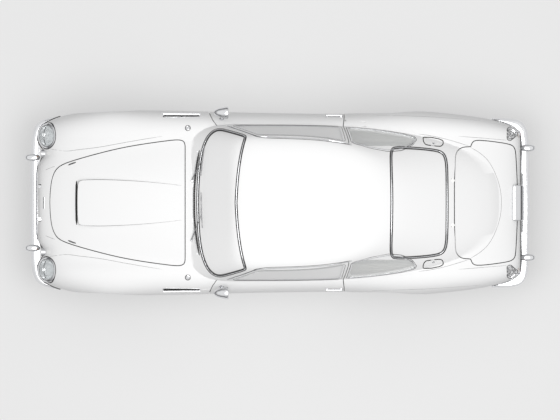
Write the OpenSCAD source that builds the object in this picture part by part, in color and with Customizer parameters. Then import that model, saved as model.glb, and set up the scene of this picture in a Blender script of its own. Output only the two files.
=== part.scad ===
// Grand tourer: a two-door fastback coupe built from separate panels.
// +X is forward, +Y is the car's left side, +Z is up; the origin is on the ground at the middle of the car.

/* [Wheels] */
// Front axle's distance ahead of the origin
front_axle_x = 1508; // [1504:1:1512]
// Rear axle's distance behind the origin
rear_axle_x = 981; // [978:1:985]
// Distance between the tyres' mid planes at the front
track_front = 1372; // [1366:1:1376]
// Distance between the tyres' mid planes at the rear
track_rear = 1360; // [1354:1:1364]
// Outer radius of the tyres
tyre_r = 350; // [346:1:352]
// Width of the tyres
tyre_w = 164; // [158:1:166]
// Radius of the front wheel arches
arch_front_r = 388; // [384:1:392]
// Radius of the rear wheel arches
arch_rear_r = 376; // [374:1:380]

/* [Panels] */
// Wall thickness of the fixed body shell
shell_t = 20; // [18:1:22]
// Wall thickness of the bonnet and the boot lid
lid_t = 16; // [14:1:18]
// Thickness of a door from its skin to its inner trim
door_t = 66; // [60:1:70]
// Gap between a moving panel and its opening
gap = 6; // [5:0.5:7]
// Thickness of the glass
glass_t = 6; // [5:0.5:7]

/* [Bonnet scoop] */
// Height of the scoop's front edge above the bonnet
scoop_h = 34; // [28:1:38]
// Half the scoop's width at its front edge
scoop_w = 206; // [196:1:210]

/* [Bumpers] */
// Height of the middle of the bumpers above the ground
bumper_z = 455; // [450:1:460]
// Height of a bumper blade
bumper_h = 92; // [84:1:96]

/* [Hidden] */
axle_z = tyre_r;
paint = [0.93, 0.93, 0.92];

// ---- Curves: a uniform cubic B-spline that starts and ends on its first and last points.
function bs(C, t) = let(n = len(C), i = max(0, min(floor(t), n - 2)), f = t - i,
  a = i == 0 ? 2*C[0] - C[1] : C[i - 1], b = C[i], c = C[i + 1], d = i >= n - 2 ? 2*C[n - 1] - C[n - 2] : C[i + 2])
  (pow(1 - f, 3)*a + (3*f*f*f - 6*f*f + 4)*b + (-3*f*f*f + 3*f*f + 3*f + 1)*c + f*f*f*d)/6;
function curve(C, k) = [for (i = [0:k*(len(C) - 1)]) bs(C, i/k)];
function flip(P) = [for (i = [len(P) - 1:-1:0]) [P[i].x, -P[i].y]];
// A closed outline, the same on both sides, from a half curve that starts and ends on the middle line.
function both(C, k) = let(P = curve(C, k), Q = flip(P)) concat(P, [for (i = [1:len(Q) - 2]) Q[i]]);

// ---- Lower body: rings from tail to nose.
// x, middle height, valley y and z, wing crown y and z, half width and its height, sill half width and height
LOW = [
  [-2146, 640, 300, 640, 400, 638, 470, 560, 440, 470],
  [-2146, 716, 420, 712, 520, 705, 585, 600, 560, 425],
  [-2130, 768, 450, 762, 575, 752, 640, 610, 600, 375],
  [-2060, 812, 480, 800, 600, 802, 690, 610, 645, 325],
  [-1950, 848, 505, 832, 615, 845, 727, 600, 682, 285],
  [-1780, 872, 530, 858, 630, 874, 764, 595, 718, 252],
  [-1560, 890, 550, 883, 648, 895, 790, 590, 742, 228],
  [-1300, 900, 570, 895, 660, 904, 817, 585, 760, 212],
  [-1050, 905, 580, 900, 664, 906, 821, 580, 768, 204],
  [-800, 905, 590, 900, 668, 903, 802, 575, 765, 200],
  [-500, 905, 600, 898, 672, 900, 788, 572, 762, 200],
  [-100, 905, 600, 896, 678, 898, 797, 570, 762, 200],
  [300, 905, 590, 890, 682, 894, 802, 570, 764, 200],
  [620, 925, 570, 882, 675, 886, 812, 568, 766, 200],
  [900, 928, 545, 862, 650, 872, 820, 565, 768, 200],
  [1200, 900, 520, 840, 636, 864, 823, 605, 768, 202],
  [1480, 866, 508, 816, 628, 854, 828, 705, 768, 210],
  [1720, 828, 500, 786, 622, 832, 812, 620, 758, 228],
  [1900, 794, 490, 752, 612, 792, 786, 538, 738, 255],
  [2030, 758, 478, 705, 602, 722, 748, 522, 704, 292],
  [2110, 720, 460, 655, 588, 642, 698, 502, 656, 335],
  [2148, 684, 430, 615, 566, 584, 645, 482, 600, 375],
  [2160, 636, 380, 575, 520, 545, 562, 470, 520, 400],
  [2162, 590, 300, 555, 420, 520, 440, 470, 400, 425],
  [2162, 560, 160, 540, 240, 515, 260, 480, 240, 450]];
low_n = len(LOW) - 1;
// The scoop's height over the bonnet at x: full at its mouth, fading out at the cowl
function scoop(x) = scoop_h*pow(max(0, min(1, (x - 840)/967)), 0.8);
// The nose stands back between the grille and the headlamps
function notch(x, y) = x < 2000 ? 0 : (x - 2000)*0.32*exp(-pow((abs(y) - 440)/75, 4));
// Half section of row R, inward by d; an inner surface's open bottom runs down by e
function low_poly(R, d, e) = let(Z0 = R[1] - d, Yv = R[2], Zv = R[3] - d, Yc = R[4], Zc = R[5] - d,
    W = R[6] - d, Zw = R[7], Ws = R[8] - d, Zs = R[9] - e, h = Zc - Zw, g = Zw - Zs)
  [[0, Z0], [0.42*Yv, Z0], [0.8*Yv, 0.55*Zv + 0.45*Z0], [Yv, Zv], [0.5*(Yv + Yc), 0.5*(Zv + Zc)], [Yc, Zc + 4],
   [Yc + 0.62*(W - Yc), Zc - 0.1*h], [W - 0.06*(W - Yc), Zc - 0.5*h], [W + 2, Zw + 0.12*h], [W + 2, Zw - 0.18*g],
   [W - 0.35*(W - Ws), Zs + 0.42*g], [Ws + 0.12*(W - Ws), Zs + 0.08*g], [Ws - 12, Zs], [0.6*Ws, Zs], [0, Zs]];
function low_ring(s, kv, d, e, up) = let(R = bs(LOW, s), x = R[0]*(1 - d/2150),
    H = curve(low_poly(R, d - (up ? scoop(R[0]) : 0), e), kv), n = len(H))
  concat([for (j = [0:n - 1]) [x - notch(x, H[j].x), H[j].x, H[j].y]],
    [for (j = [n - 2:-1:1]) [x - notch(x, H[j].x), -H[j].x, H[j].y]]);

// ---- Cabin: level outlines from inside the body to the crown of the roof.
// z, front x, rear x, half width, x of the full width, front and rear roundness
CAB = [
  [680, 1030, -2060, 740, 200, 5, 3],
  [800, 905, -2030, 718, 200, 5, 3],
  [900, 800, -1880, 698, 200, 5, 2.9],
  [1000, 699, -1610, 670, 180, 5, 2.7],
  [1100, 597, -1365, 642, 160, 4.9, 2.6],
  [1200, 495, -1130, 614, 120, 4.7, 2.6],
  [1262, 440, -985, 594, 60, 4.4, 2.7],
  [1298, 395, -830, 535, -20, 3.8, 2.7],
  [1325, 290, -650, 435, -80, 3.2, 2.5],
  [1340, 140, -470, 290, -120, 2.7, 2.3],
  [1348, -20, -290, 150, -140, 2.3, 2.1],
  [1349, -148, -152, 2, -150, 2, 2]];
cab_n = len(CAB) - 1;
function cab_ring(t, K, d) = let(R = bs(CAB, t), z = R[0] - d, xf = R[1] - 0.41*d, xr = R[2] + 0.1*d,
    w = max(1, R[3] - 0.77*d), xm = R[4])
  [for (i = [K - 1:-1:0]) let(p = 360*(i + 0.5)/K, c = cos(p), s = sin(p), n = c >= 0 ? R[5] : R[6],
    k = pow(pow(abs(c), n) + pow(abs(s), n), -1/n), a = c >= 0 ? max(1, xf - xm) : max(1, xm - xr)) [xm + a*c*k, w*s*k, z]];

// ---- A closed solid through rings of the same number of points
function total(P, i = 0) = i == len(P) - 1 ? P[i] : P[i] + total(P, i + 1);
function area(P) = total([for (i = [0:len(P) - 1]) let(a = P[i], b = P[(i + 1)%len(P)]) a.x*b.y - a.y*b.x]);
function turned(P, way) = area(P)*way > 0 ? P : [for (i = [len(P) - 1:-1:0]) P[i]];
module skin(rings) {
  n = len(rings); m = len(rings[0]);
  P = concat([for (r = rings) each r], [total(rings[0])/m], [total(rings[n - 1])/m]);
  F = concat(
    [for (i = [0:n - 2], j = [0:m - 1]) let(a = i*m + j, b = i*m + (j + 1)%m) each [[a, b, b + m], [a, b + m, a + m]]],
    [for (j = [0:m - 1]) [n*m, (j + 1)%m, j]],
    [for (j = [0:m - 1]) [n*m + 1, (n - 1)*m + j, (n - 1)*m + (j + 1)%m]]);
  polyhedron(P, F, convexity = 10);
}
// A prism through [x, y] outlines at heights Z, or through [x, z] outlines at y positions Y
module plan(A, Z) skin([for (i = [0:len(Z) - 1]) [for (p = turned(A[i], -1)) [p.x, p.y, Z[i]]]]);
module side(A, Y) skin([for (i = [0:len(Y) - 1]) [for (p = turned(A[i], 1)) [p.x, Y[i], p.y]]]);
module low(d = 0, ks = 1, kv = 1.5, e = 0, up = false, s0 = 0, s1 = low_n)
  skin([for (i = [0:ks*(s1 - s0)]) low_ring(s0 + i/ks, kv, d, e, up)]);
module cab(d = 0, kt = 1, K = 52) skin([for (i = [0:kt*cab_n]) cab_ring(i/kt, K, d)]);
// Hands a faceted solid over in one piece
module mesh() resize([0, 0, 0]) children();
module left_right() { children(); mirror([0, 1, 0]) children(); }
module box(x0, x1, y0, y1, z0, z1) translate([x0, y0, z0]) cube([x1 - x0, y1 - y0, z1 - z0]);
// Cylinders along x, y and z from a to b, and a coarse one for faceted solids
module cx(y, z, r, a, b) translate([a, y, z]) rotate([0, 90, 0]) cylinder(r = r, h = b - a, $fn = 64);
module cy(x, z, r, a, b, n = 96) translate([x, a, z]) rotate([-90, 0, 0]) cylinder(r = r, h = b - a, $fn = n);
module cz(x, y, r, a, b) translate([x, y, a]) cylinder(r = r, h = b - a, $fn = 48);

// ---- Outlines. A half outline runs from the middle of its front edge round to the middle of its rear edge.
BONNET = [[2052, 0], [2048, 110], [2034, 222], [1998, 300], [1940, 342], [1800, 388], [1484, 474], [1245, 518], [1010, 550], [900, 562], [850, 545], [851, 480], [851, 300], [851, 0]];
BOOT = [[-1561, 0], [-1561, 380], [-1566, 440], [-1600, 486], [-1655, 497], [-1705, 494], [-1711, 515], [-1725, 548], [-1765, 556], [-1870, 547], [-1970, 533], [-2060, 518], [-2096, 490], [-2102, 420], [-2112, 240], [-2119, 0]];
SCREEN = [[742, 0], [740, 150], [728, 330], [704, 470], [662, 580], [610, 640], [545, 668], [470, 648], [400, 630], [322, 606], [296, 594], [318, 540], [350, 400], [376, 200], [386, 0]];
BACKLIGHT = [[-992, 0], [-990, 200], [-984, 380], [-984, 450], [-1000, 494], [-1050, 503], [-1250, 492], [-1400, 476], [-1462, 452], [-1492, 390], [-1498, 250], [-1499, 0]];
SCOOP = [for (p = [[1807, 0], [1806, 0.58], [1798, 0.92], [1770, 0.985], [1560, 1], [1250, 0.93], [1000, 0.82], [866, 0.75], [856, 0.49], [856, 0]]) [p.x, p.y*scoop_w]];
DOOR = [[632, 300], [632, 700], [629, 775], [612, 845], [576, 878], [520, 892], [468, 905], [330, 1072], [232, 1196], [206, 1228], [160, 1240], [60, 1246], [-200, 1250], [-450, 1248], [-590, 1243], [-612, 1225], [-606, 1180], [-572, 940], [-564, 900], [-568, 700], [-563, 400], [-556, 330], [-540, 285], [-500, 262], [-400, 258], [520, 258], [590, 262], [620, 276]];
DOOR_WINDOW = [[408, 930], [190, 1206], [150, 1216], [-200, 1222], [-560, 1216], [-572, 1200], [-538, 930], [-520, 922], [390, 922]];
QUARTER = [[-596, 930], [-640, 1200], [-660, 1212], [-800, 1196], [-960, 1150], [-1090, 1084], [-1180, 1010], [-1216, 952], [-1200, 926], [-1100, 918], [-620, 918]];
FLAP = [[-1280, 582], [-1284, 550], [-1300, 524], [-1330, 518], [-1400, 510], [-1432, 508], [-1450, 520], [-1454, 550], [-1420, 566], [-1350, 580]];
function flip(P) = [for (i = [len(P) - 1:-1:0]) [P[i].x, -P[i].y]];
function both(P) = let(Q = flip(P)) concat(P, [for (i = [1:len(Q) - 2]) Q[i]]);
// Spline a half outline, closed on both sides
function round_both(P, k = 2) = both(curve(P, k));
// Move every point of a closed outline along its normal by g (outward is positive)
function grow(P, g) = let(n = len(P), s = area(P) > 0 ? 1 : -1)
  [for (i = [0:n - 1]) let(a = P[(i + n - 1)%n], b = P[(i + 1)%n], t = (b - a)/norm(b - a)) P[i] + s*g*[t.y, -t.x]];
// Move the part of an outline behind x0 by k, fading in
function shift_rear(P, x0, k) = [for (p = P) [p.x + k*max(0, min(1, (x0 - p.x)/60)), p.y]];

// ---- Cutters for the openings; g is the gap around the panel
module bonnet_cut(g) let(P = grow(round_both(BONNET), g), Q = grow(round_both(BONNET), g - 21)) plan([Q, Q, P, P], [560, 722, 745, 1000]);
module boot_cut(g) let(P = grow(round_both(BOOT), g), Q = [for (p = P) [p.x - 6*max(0, min(1, (p.x + 1680)/60)), p.y]]) plan([shift_rear(Q, -1950, 64), Q, Q, P, P], [600, 760, 985, 1016, 1100]);
module screen_cut(g) plan([for (i = [0, 1]) grow(round_both(SCREEN, 1), g)], [880, 1400]);
module backlight_cut(g) plan([for (i = [0, 1]) grow(round_both(BACKLIGHT, 1), g)], [900, 1400]);
// The door's rear edge leans inward from the skin, and its front edge is bevelled
function door_ring(g, Y) = [for (p = grow(DOOR, g)) [p.x < 0 ? p.x + 0.185*(785 - 0.53*max(0, p.y - 750) - Y) : p.x > 560 ? p.x - (Y < 790 ? 10 : Y < 810 ? 7.5 : 0) : p.x, p.y]];
module door_cut(g) side([for (Y = [480, 780, 800, 814, 900]) door_ring(g, Y)], [480, 780, 800, 814, 900]);
module arches(g = 0) left_right() { cy(front_axle_x, axle_z, arch_front_r + g, 400, 900, 40); cy(-rear_axle_x, axle_z, arch_rear_r + g, 560, 900, 40); }
module grille_cut(g) translate([2070, 0, 520]) rotate([90, 0, 90]) linear_extrude(130) polygon([for (i = [0:31]) let(c = cos(11.25*i), s = sin(11.25*i), k = pow(pow(abs(c), 3.4) + pow(abs(s), 3.4), -1/3.4)) [(306 + g)*c*k, (80 + g)*s*k]]);
module at_lamp() left_right() translate([2080, 597, 640]) rotate([0, 44, 0]) children();
module vent_cut(g) side([for (i = [0, 1]) grow([[1050, 748], [1046, 806], [712, 806], [706, 748], [712, 740], [1044, 740]], g)], [730, 860]);
module tail_lamp_holes(r) left_right() for (z = [590, 655, 720]) translate([-2200, 612, z]) rotate([0, 90, 0]) cylinder(r = r, h = 115, $fn = 16);
hinge_door = [687, 780];
hinge_bonnet = [2112, 676];
hinge_boot = [-1512, 1006];
module at_flap() translate([-1365.2, 493.3, 954.8]) rotate([0, 0, 6.9]) rotate([0, -13.1, 0]) rotate([-45, 0, 0]) children();

// ---- Fixed body
module body_shell() mesh() difference() {
  union() {
    difference() { union() { low(); cab(); } union() { low(shell_t, 1, 1, 120); cab(shell_t, 1, 28); } }
    intersection() {
      union() { low(1); cab(1); }
      left_right() union() {
        box(640, 800, 655, 900, 230, 900);
        box(-760, -580, 640, 900, 230, 900);
        box(-760, 800, 655, 900, 190, 250);
        for (y = [176, 216]) { box(2098, 2126, y - 50, y - 42, 662, 720); box(-1526, -1498, y, y + 8, 992, 1030); }
      }
    }
  }
  arches();
  bonnet_cut(gap + 2);
  boot_cut(gap + 2);
  screen_cut(0);
  backlight_cut(0);
  left_right() { door_cut(gap + 1); side([QUARTER, QUARTER], [508, 760]); vent_cut(0.5); plan([grow(FLAP, gap + 2.2), grow(FLAP, gap + 2.2)], [820, 1100]); at_flap() { rotate([0, 90, 0]) cylinder(r = 2.66, h = 66, center = true, $fn = 16); rotate([0, 90, 0]) cylinder(r = 7, h = 40, center = true, $fn = 16); translate([-20, -14, -60]) cube([40, 54, 63]); }
    for (z = [400, 710]) { box(600, 712, 690, 797, z - 11, z + 11); translate([hinge_door.x, hinge_door.y, z - 30.2]) cylinder(r = 5.3, h = 60.4, $fn = 16); }
    cy(hinge_bonnet.x, hinge_bonnet.y, 5.3, 129.8, 170.2, 16); cy(hinge_boot.x, hinge_boot.y, 5.3, 179.8, 220.2, 16); }
  grille_cut(0.3);
  at_lamp() translate([0, 0, -80]) cylinder(r = 114.6, h = 200, $fn = 32);
  tail_lamp_holes(31);
  left_right() translate([2000, 440, 585]) rotate([0, 90, 0]) cylinder(r = 31, h = 200, $fn = 16);
  left_right() { box(2010, 2158, 134, 166, 560, 692); box(-1560, -1480, 184, 216, 900, 1022); }
}
module floor_pan() mesh() {
  difference() {
    intersection() {
      low(shell_t + 3, 1, 1, 0);
      union() {
        box(-640, 900, -800, 800, 215, 235);
        box(-640, -624, -640, 640, 215, 332);
        box(-856, -624, -640, 640, 316, 332);
        box(-856, -840, -640, 640, 316, 496);
        box(-2110, -840, -700, 700, 480, 496);
        box(-1030, -1014, -640, 640, 480, 760);
        box(-856, 885, -140, 140, 235, 430);
        box(872, 888, -800, 800, 235, 905);
        box(1960, 2092, -620, 620, 380, 392);
        left_right() box(888, 2036, 258, 312, 300, 360);
        left_right() { box(880, 1962, 372, 384, 300, 800); cy(-rear_axle_x, axle_z, arch_rear_r + 14, 540, 900, 36);
          cy(front_axle_x, axle_z, arch_front_r + 14, 384, 900, 28); }
      }
    }
    box(-900, 870, -128, 128, 200, 418);
    left_right() { box(636, 804, 650, 900, 200, 1000); box(-764, -576, 636, 900, 200, 1000); box(-764, 804, 650, 900, 180, 254); cy(-rear_axle_x, axle_z, 62, 500, 600, 16);
      cy(-rear_axle_x, axle_z, arch_rear_r + 2, 552, 900, 28); cy(front_axle_x, axle_z, arch_front_r + 2, 384, 900, 28); }
  }
}
module engine_block() box(960, 1700, -250, 250, 265, 730);

// ---- Bumpers: a blade swept along half a plan path, and its overriders
// plan x and y of the outer edge, and how far the top flange reaches in towards the body
FRONT_BAR = [[2227, 0, 54], [2226, 220, 54], [2222, 440, 52], [2214, 560, 47], [2205, 625, 46], [2188, 676, 46], [2160, 712, 44], [2122, 736, 32], [2075, 752, 22], [2020, 762, 14], [1960, 768, 14], [1900, 770, 14]];
REAR_BAR = [[-2227, 0, 70], [-2224, 300, 68], [-2220, 500, 65], [-2214, 600, 69], [-2200, 660, 73], [-2168, 712, 82], [-2120, 738, 77], [-2070, 748, 62], [-2010, 752, 44], [-1950, 754, 24], [-1890, 755, 14]];
BAR = [[-14, -0.5], [0, -0.32], [4, 0], [0, 0.36], [-99, 0.5], [-99, 0.43], [-8, 0.2]];
module blade(PATH) let(P = curve(PATH, 2), n = len(P), up = PATH[0].x > 0 ? 1 : -1)
  skin([for (i = [1 - n:n - 1]) let(k = abs(i), q = i < 0 ? -1 : 1, a = P[max(0, k - 1)], b = P[min(n - 1, k + 1)], t = [b.x - a.x, b.y - a.y], v = k == 0 ? [0, 1] : t/norm(t), o = [v.y, -v.x]*up)
    [for (c = up*1 > 0 ? BAR : [for (j = [len(BAR) - 1:-1:0]) BAR[j]]) let(r = c.x == -99 ? -P[k].z : c.x) [P[k].x + o.x*r, q*P[k].y + q*o.y*r, bumper_z + c.y*bumper_h]]]);
module overrider(x, y, dx, w) skin([for (c = [[-88, 0.45], [-78, 0.85], [-40, 1], [40, 1], [74, 0.85], [84, 0.45]])
  [for (i = [9:-1:0]) let(p = 36*i, s = sin(p), q = cos(p), k = pow(pow(abs(q), 2.6) + pow(abs(s), 2.6), -1/2.6)) [x + dx*(q*k*c[1]), y + w*s*k*c[1], bumper_z + c[0]]]]);
module front_bumper() mesh() difference() {
  union() { blade(FRONT_BAR); left_right() { overrider(2210, 404, 68, 33); box(2100, 2216, 300, 330, 440, 470); } }
  low(-1.5);
}
module rear_bumper() mesh() difference() {
  union() { blade(REAR_BAR); left_right() { overrider(-2213, 489, 67, 33); box(-2216, -2100, 380, 410, 440, 470); } }
  low(-1.5);
}
module grille() mesh() difference() {
  union() {
    difference() { intersection() { grille_cut(0); box(2080, 2169, -400, 400, 400, 640); } grille_cut(-14); }
    intersection() { grille_cut(-13.5); union() { for (y = [-280:56:280]) box(2112, 2130, y - 2, y + 2, 430, 610); box(2104, 2112, -330, 330, 430, 610); } }
  }
  box(2000, 2300, -700, 700, 300, 430);
}
module headlamps() { at_lamp() { translate([0, 0, -78]) cylinder(r1 = 70, r2 = 110, h = 60, $fn = 64); translate([0, 0, -18]) cylinder(r = 113.8, h = 20, $fn = 96);
  intersection() { translate([0, 0, 2 - 230]) sphere(r = 256, $fn = 96); translate([0, 0, 2]) cylinder(r = 112, h = 40, $fn = 96); } } }
module front_indicators() left_right() { cx(440, 585, 30, 2040, 2118); }
module tail_lamps() { tail_lamp_holes_solid(30); }
module tail_lamp_holes_solid(r) left_right() for (z = [590, 655, 720]) cx(612, z, r, z > 700 ? -2118 : -2140, -2090);
module windscreen() mesh() difference() { intersection() { cab(2, 1, 32); screen_cut(-14); } cab(2 + glass_t, 1, 32); }
module rear_window() mesh() difference() { intersection() { cab(2, 1, 32); backlight_cut(-14); } cab(2 + glass_t, 1, 32); }
module window_trim() mesh() intersection() {
  difference() { cab(-4, 1, 28); cab(8, 1, 28); }
  union() { difference() { screen_cut(-0.3); screen_cut(-13.7); } difference() { backlight_cut(-0.3); backlight_cut(-13.7); } }
}
module quarter_windows() mesh() intersection() { difference() { cab(3, 1, 40); cab(3 + glass_t, 1, 40); } left_right() side([grow(QUARTER, -0.3), grow(QUARTER, -0.3)], [512, 760]); }
module wing_vents() mesh() difference() {
  left_right() intersection() { difference() { low(); low(12); } vent_cut(0); }
  left_right() for (z = [754:18:790]) box(728, 1034, 700, 900, z, z + 9);
}
// ---- Moving panels
module bonnet() mesh() difference() {
  union() {
    intersection() { difference() { low(); low(lid_t); } bonnet_cut(0); }
    difference() {
      intersection() { low(0, 1, 1.5, 0, true, 12, 20); plan([round_both(SCOOP), round_both(SCOOP)], [600, 1000]); }
      low(6);
      intersection() { low(5, 1, 1.5, 0, true, 12, 20); plan([for (i = [0, 1]) [for (p = grow(round_both(SCOOP), -6)) [p.x + 14, p.y]]], [600, 1000]); box(1500, 1900, -300, 300, 600, 1000); }
    }
    left_right() translate([hinge_bonnet.x, 158, hinge_bonnet.y]) rotate([90, 0, 0]) linear_extrude(16) { circle(r = 9, $fn = 20); rotate(236) translate([0, -8]) square([112, 16]);
      polygon([for (a = [146:9:236]) 116*[cos(a), sin(a)], for (a = [236:-9:146]) 101*[cos(a), sin(a)]]); }
  }
  left_right() cy(hinge_bonnet.x, hinge_bonnet.y, 5.2, 140, 160, 16);
}
module boot_lid() mesh() difference() {
  union() {
    intersection() { difference() { union() { low(); cab(); } union() { low(lid_t); cab(lid_t); } } boot_cut(0); }
    left_right() translate([0, 208, 0]) rotate([90, 0, 0]) linear_extrude(16) polygon([[-1630, 968], [-1610, 940], [-1518, 958], [-1503, 1004], [-1507, 1013], [-1517, 1014], [-1522, 1004], [-1530, 976], [-1596, 962], [-1600, 984]]);
  }
  left_right() cy(hinge_boot.x, hinge_boot.y, 5.2, 190, 210, 16);
}
module door() mesh() difference() {
  intersection() { difference() { union() { low(); cab(); } cab(26); } door_cut(0); box(-900, 900, 500, 900, 200, 1300); }
  box(-900, 900, 400, 734 - door_t, 200, 915);
  side([DOOR_WINDOW, DOOR_WINDOW], [500, 760]);
  for (z = [400, 710]) box(600, 660, 709.5, 728.5, z - 5.5, z + 5.5);
  door_posts(0.4, 8);
}
module door_glass() mesh() intersection() { difference() { cab(8); cab(8 + glass_t); } side([grow(DOOR_WINDOW, -0.3), grow(DOOR_WINDOW, -0.3)], [500, 760]); }
// The handle's posts, its button and the mirror's stem; the door has pockets for them
module door_posts(g = 0, n = 24) {
  translate([-420, 771, 788]) rotate([90, 0, 0]) cylinder(r = (8 + g)/(g ? cos(180/n) : 1), h = 16 + g, center = true, $fn = n);
  translate([-546, 770, 788]) rotate([90, 0, 0]) cylinder(r = (13 + g)/(g ? cos(180/n) : 1), h = 20 + g, center = true, $fn = n);
  translate([520, 770, 850]) rotate([-32, 0, 0]) translate([0, 0, -g]) cylinder(r = (11 + g)/(g ? cos(180/n) : 1), h = 100, $fn = n);
}
// Handle, mirror and the two hinge arms of the left door, built from plain solids
module door_fittings() {
  door_posts();
  translate([-482, 781, 788]) rotate([0, 90, 0]) cylinder(r = 9, h = 150, center = true, $fn = 32);
  translate([484, 806, 950]) rotate([0, 90, 0]) rotate_extrude($fn = 48) polygon([[0, -24], [50, -24], [55, -20], [56, -8], [52, 20], [42, 60], [26, 92], [12, 106], [0, 110]]);
  for (z = [400, 710]) difference() {
    union() { translate([hinge_door.x, hinge_door.y, z - 5]) cylinder(r = 10, h = 10, $fn = 48); translate([679, 710, z - 5]) cube([16, 70, 10]); translate([620, 710, z - 5]) cube([75, 18, 10]); }
    translate([hinge_door.x, hinge_door.y, z - 10]) cylinder(r = 5.05, h = 20, $fn = 48);
  }
}
module fuel_flap() mesh() difference() {
  union() {
    intersection() { difference() { union() { low(); cab(); } union() { low(5); cab(5); } } plan([FLAP, FLAP], [820, 1100]); }
    at_flap() { rotate([0, 90, 0]) cylinder(r = 4, h = 30, center = true, $fn = 16); translate([-15, -8, -9]) cube([30, 8, 6.5]); translate([-15, -8, -26]) cube([30, 5, 20]);
      translate([-15, -8, -26]) cube([30, 34, 5]); translate([-15, 21, -26]) cube([30, 5, 34]); }
  }
  at_flap() rotate([0, 90, 0]) cylinder(r = 2.7, h = 40, center = true, $fn = 24);
  difference() { at_flap() translate([-30, 10, -2]) cube([60, 30, 60]); union() { low(2); cab(2); } }
}
// ---- Cabin
module dashboard() mesh() difference() {
  intersection() { cab(shell_t + 16, 1, 40); union() { box(560, 860, -628, 628, 640, 905); box(520, 562, -628, 628, 700, 880); } }
  translate([560, 0, 600]) rotate([0, 35, 0]) box(-400, 0, -800, 800, -400, 200);
  box(500, 900, -900, 900, 500, 640);
  left_right() box(630, 900, 650, 900, 200, 1000);
  at_column() translate([0, 0, -330]) cylinder(r = 26, h = 320, $fn = 16);
}
module side_bar(P, w) translate([0, w/2, 0]) rotate([90, 0, 0]) linear_extrude(w) polygon(P);
module front_seats() left_right() translate([0, 360, 0]) side_bar([[290, 245], [312, 395], [282, 422], [60, 400], [-100, 392], [-150, 470], [-285, 900], [-322, 930], [-366, 915], [-362, 860], [-250, 440], [-215, 300], [-170, 245]], 420);
module rear_seat() left_right() translate([0, 335, 0]) side_bar([[-575, 334], [-560, 392], [-596, 418], [-795, 398], [-812, 450], [-832, 530], [-920, 745], [-960, 766], [-1010, 752], [-1010, 500], [-836, 500], [-836, 334]], 380);
module at_column() translate([330, -360, 800]) rotate([0, -62, 0]) children();
module steering_wheel() at_column() {
  rotate_extrude($fn = 96) translate([195, 0]) circle(r = 13, $fn = 24);
  for (a = [0, 120, 240]) rotate([0, 0, a + 90]) translate([30, -12, -4]) cube([156, 24, 5]);
  translate([0, 0, -20]) cylinder(r = 38, h = 28, $fn = 64);
  translate([0, 0, -250]) cylinder(r = 16, h = 231, $fn = 32);
}
// ---- Wipers: arm and blade as slim bars over the screen
module bar() translate([0, 0, 850]) linear_extrude(550) children();
module wipers() mesh() intersection() {
  difference() { union() { low(-17, 1, 1); cab(-17, 1, 60); } union() { low(-6, 1, 1); cab(-6, 1, 60); } }
  union() {
    bar() polygon([[792, 338], [776, 338], [740, 226], [752, 222]]);
    bar() polygon([[692, 226], [684, 225], [692, 8], [696, -94], [704, -94], [700, 8]]);
    bar() polygon([[752, 222], [740, 226], [696, 120], [706, 116]]);
    bar() polygon([[792, -190], [776, -190], [738, -278], [748, -282]]);
    bar() polygon([[704, -240], [696, -240], [676, -410], [660, -522], [668, -524], [684, -410]]);
    bar() polygon([[748, -282], [738, -278], [688, -372], [698, -376]]);
  }
}
// ---- Underneath
module tube(a, b, r) let(v = b - a) translate(a) rotate([0, acos(v.z/norm(v)), atan2(v.y, v.x)]) cylinder(r = r, h = norm(v), $fn = 8);
EXHAUST = [[-1310, 460, 225], [-1000, 460, 183], [650, 460, 183], [1000, 215, 190], [1000, 215, 264.8]];
module pipe(r, a, b, n) translate([a, 460, 225]) rotate([0, 90, 0]) cylinder(r = r, h = b - a, $fn = n);
module exhaust() mesh() {
  pipe(70, -1710, -1300, 16);
  pipe(25, -2100, -1705, 8);
  difference() { pipe(32, -2190, -2090, 12); pipe(28, -2200, -2105, 12); }
  for (i = [0:3]) { tube(EXHAUST[i], EXHAUST[i + 1], 25); if (i > 0) translate(EXHAUST[i]) sphere(r = 28, $fn = 6); }
}
module suspension() {
  box(1468, 1548, -371, 371, 178, 262);
  left_right() {
    translate([front_axle_x, 0, 208]) linear_extrude(22) polygon([[-130, 371], [-96, 371], [-16, 540], [16, 540], [96, 371], [130, 371], [36, 590], [20, 655], [-20, 655], [-36, 590]]);
    translate([front_axle_x, 0, 474]) linear_extrude(18) polygon([[-90, 385], [-64, 385], [-14, 520], [14, 520], [64, 385], [90, 385], [30, 590], [18, 655], [-18, 655], [-30, 590]]);
    cz(front_axle_x, 640, 10, 230, 262);
    cz(front_axle_x, 640, 9, 448, 474);
    cz(front_axle_x, 470, 42, 262, 440);
    cz(front_axle_x, 470, 12, 230, 262);
    box(1498, 1518, 384.5, 480, 600, 620);
    cz(front_axle_x, 470, 16, 440, 600);
  }
}
module knuckle() difference() {
  union() {
    cz(front_axle_x, 640, 22, 236, 468);
    cy(front_axle_x, axle_z, 20, 640, 752);
    cy(front_axle_x, axle_z, 40, 640, 674);
    box(1360, front_axle_x, 628, 650, 268, 286);
  }
  cz(front_axle_x, 640, 10.06, 230, 263);
  cz(front_axle_x, 640, 9.06, 447, 470);
}
module rear_axle() {
  cy(-rear_axle_x, axle_z, 42, -560, 560);
  left_right() { cy(-rear_axle_x, axle_z, 30, 560, 640); cy(-rear_axle_x, axle_z, 18, 640, 742); }
  translate([-rear_axle_x, 0, axle_z]) sphere(r = 110, $fn = 48);
  cx(0, axle_z, 30, -rear_axle_x + 100, 760);
  left_right() { box(-1285, -660, 430, 480, 286, 306); box(-rear_axle_x - 40, -rear_axle_x + 40, 430, 480, 306, 312); }
}
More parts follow.
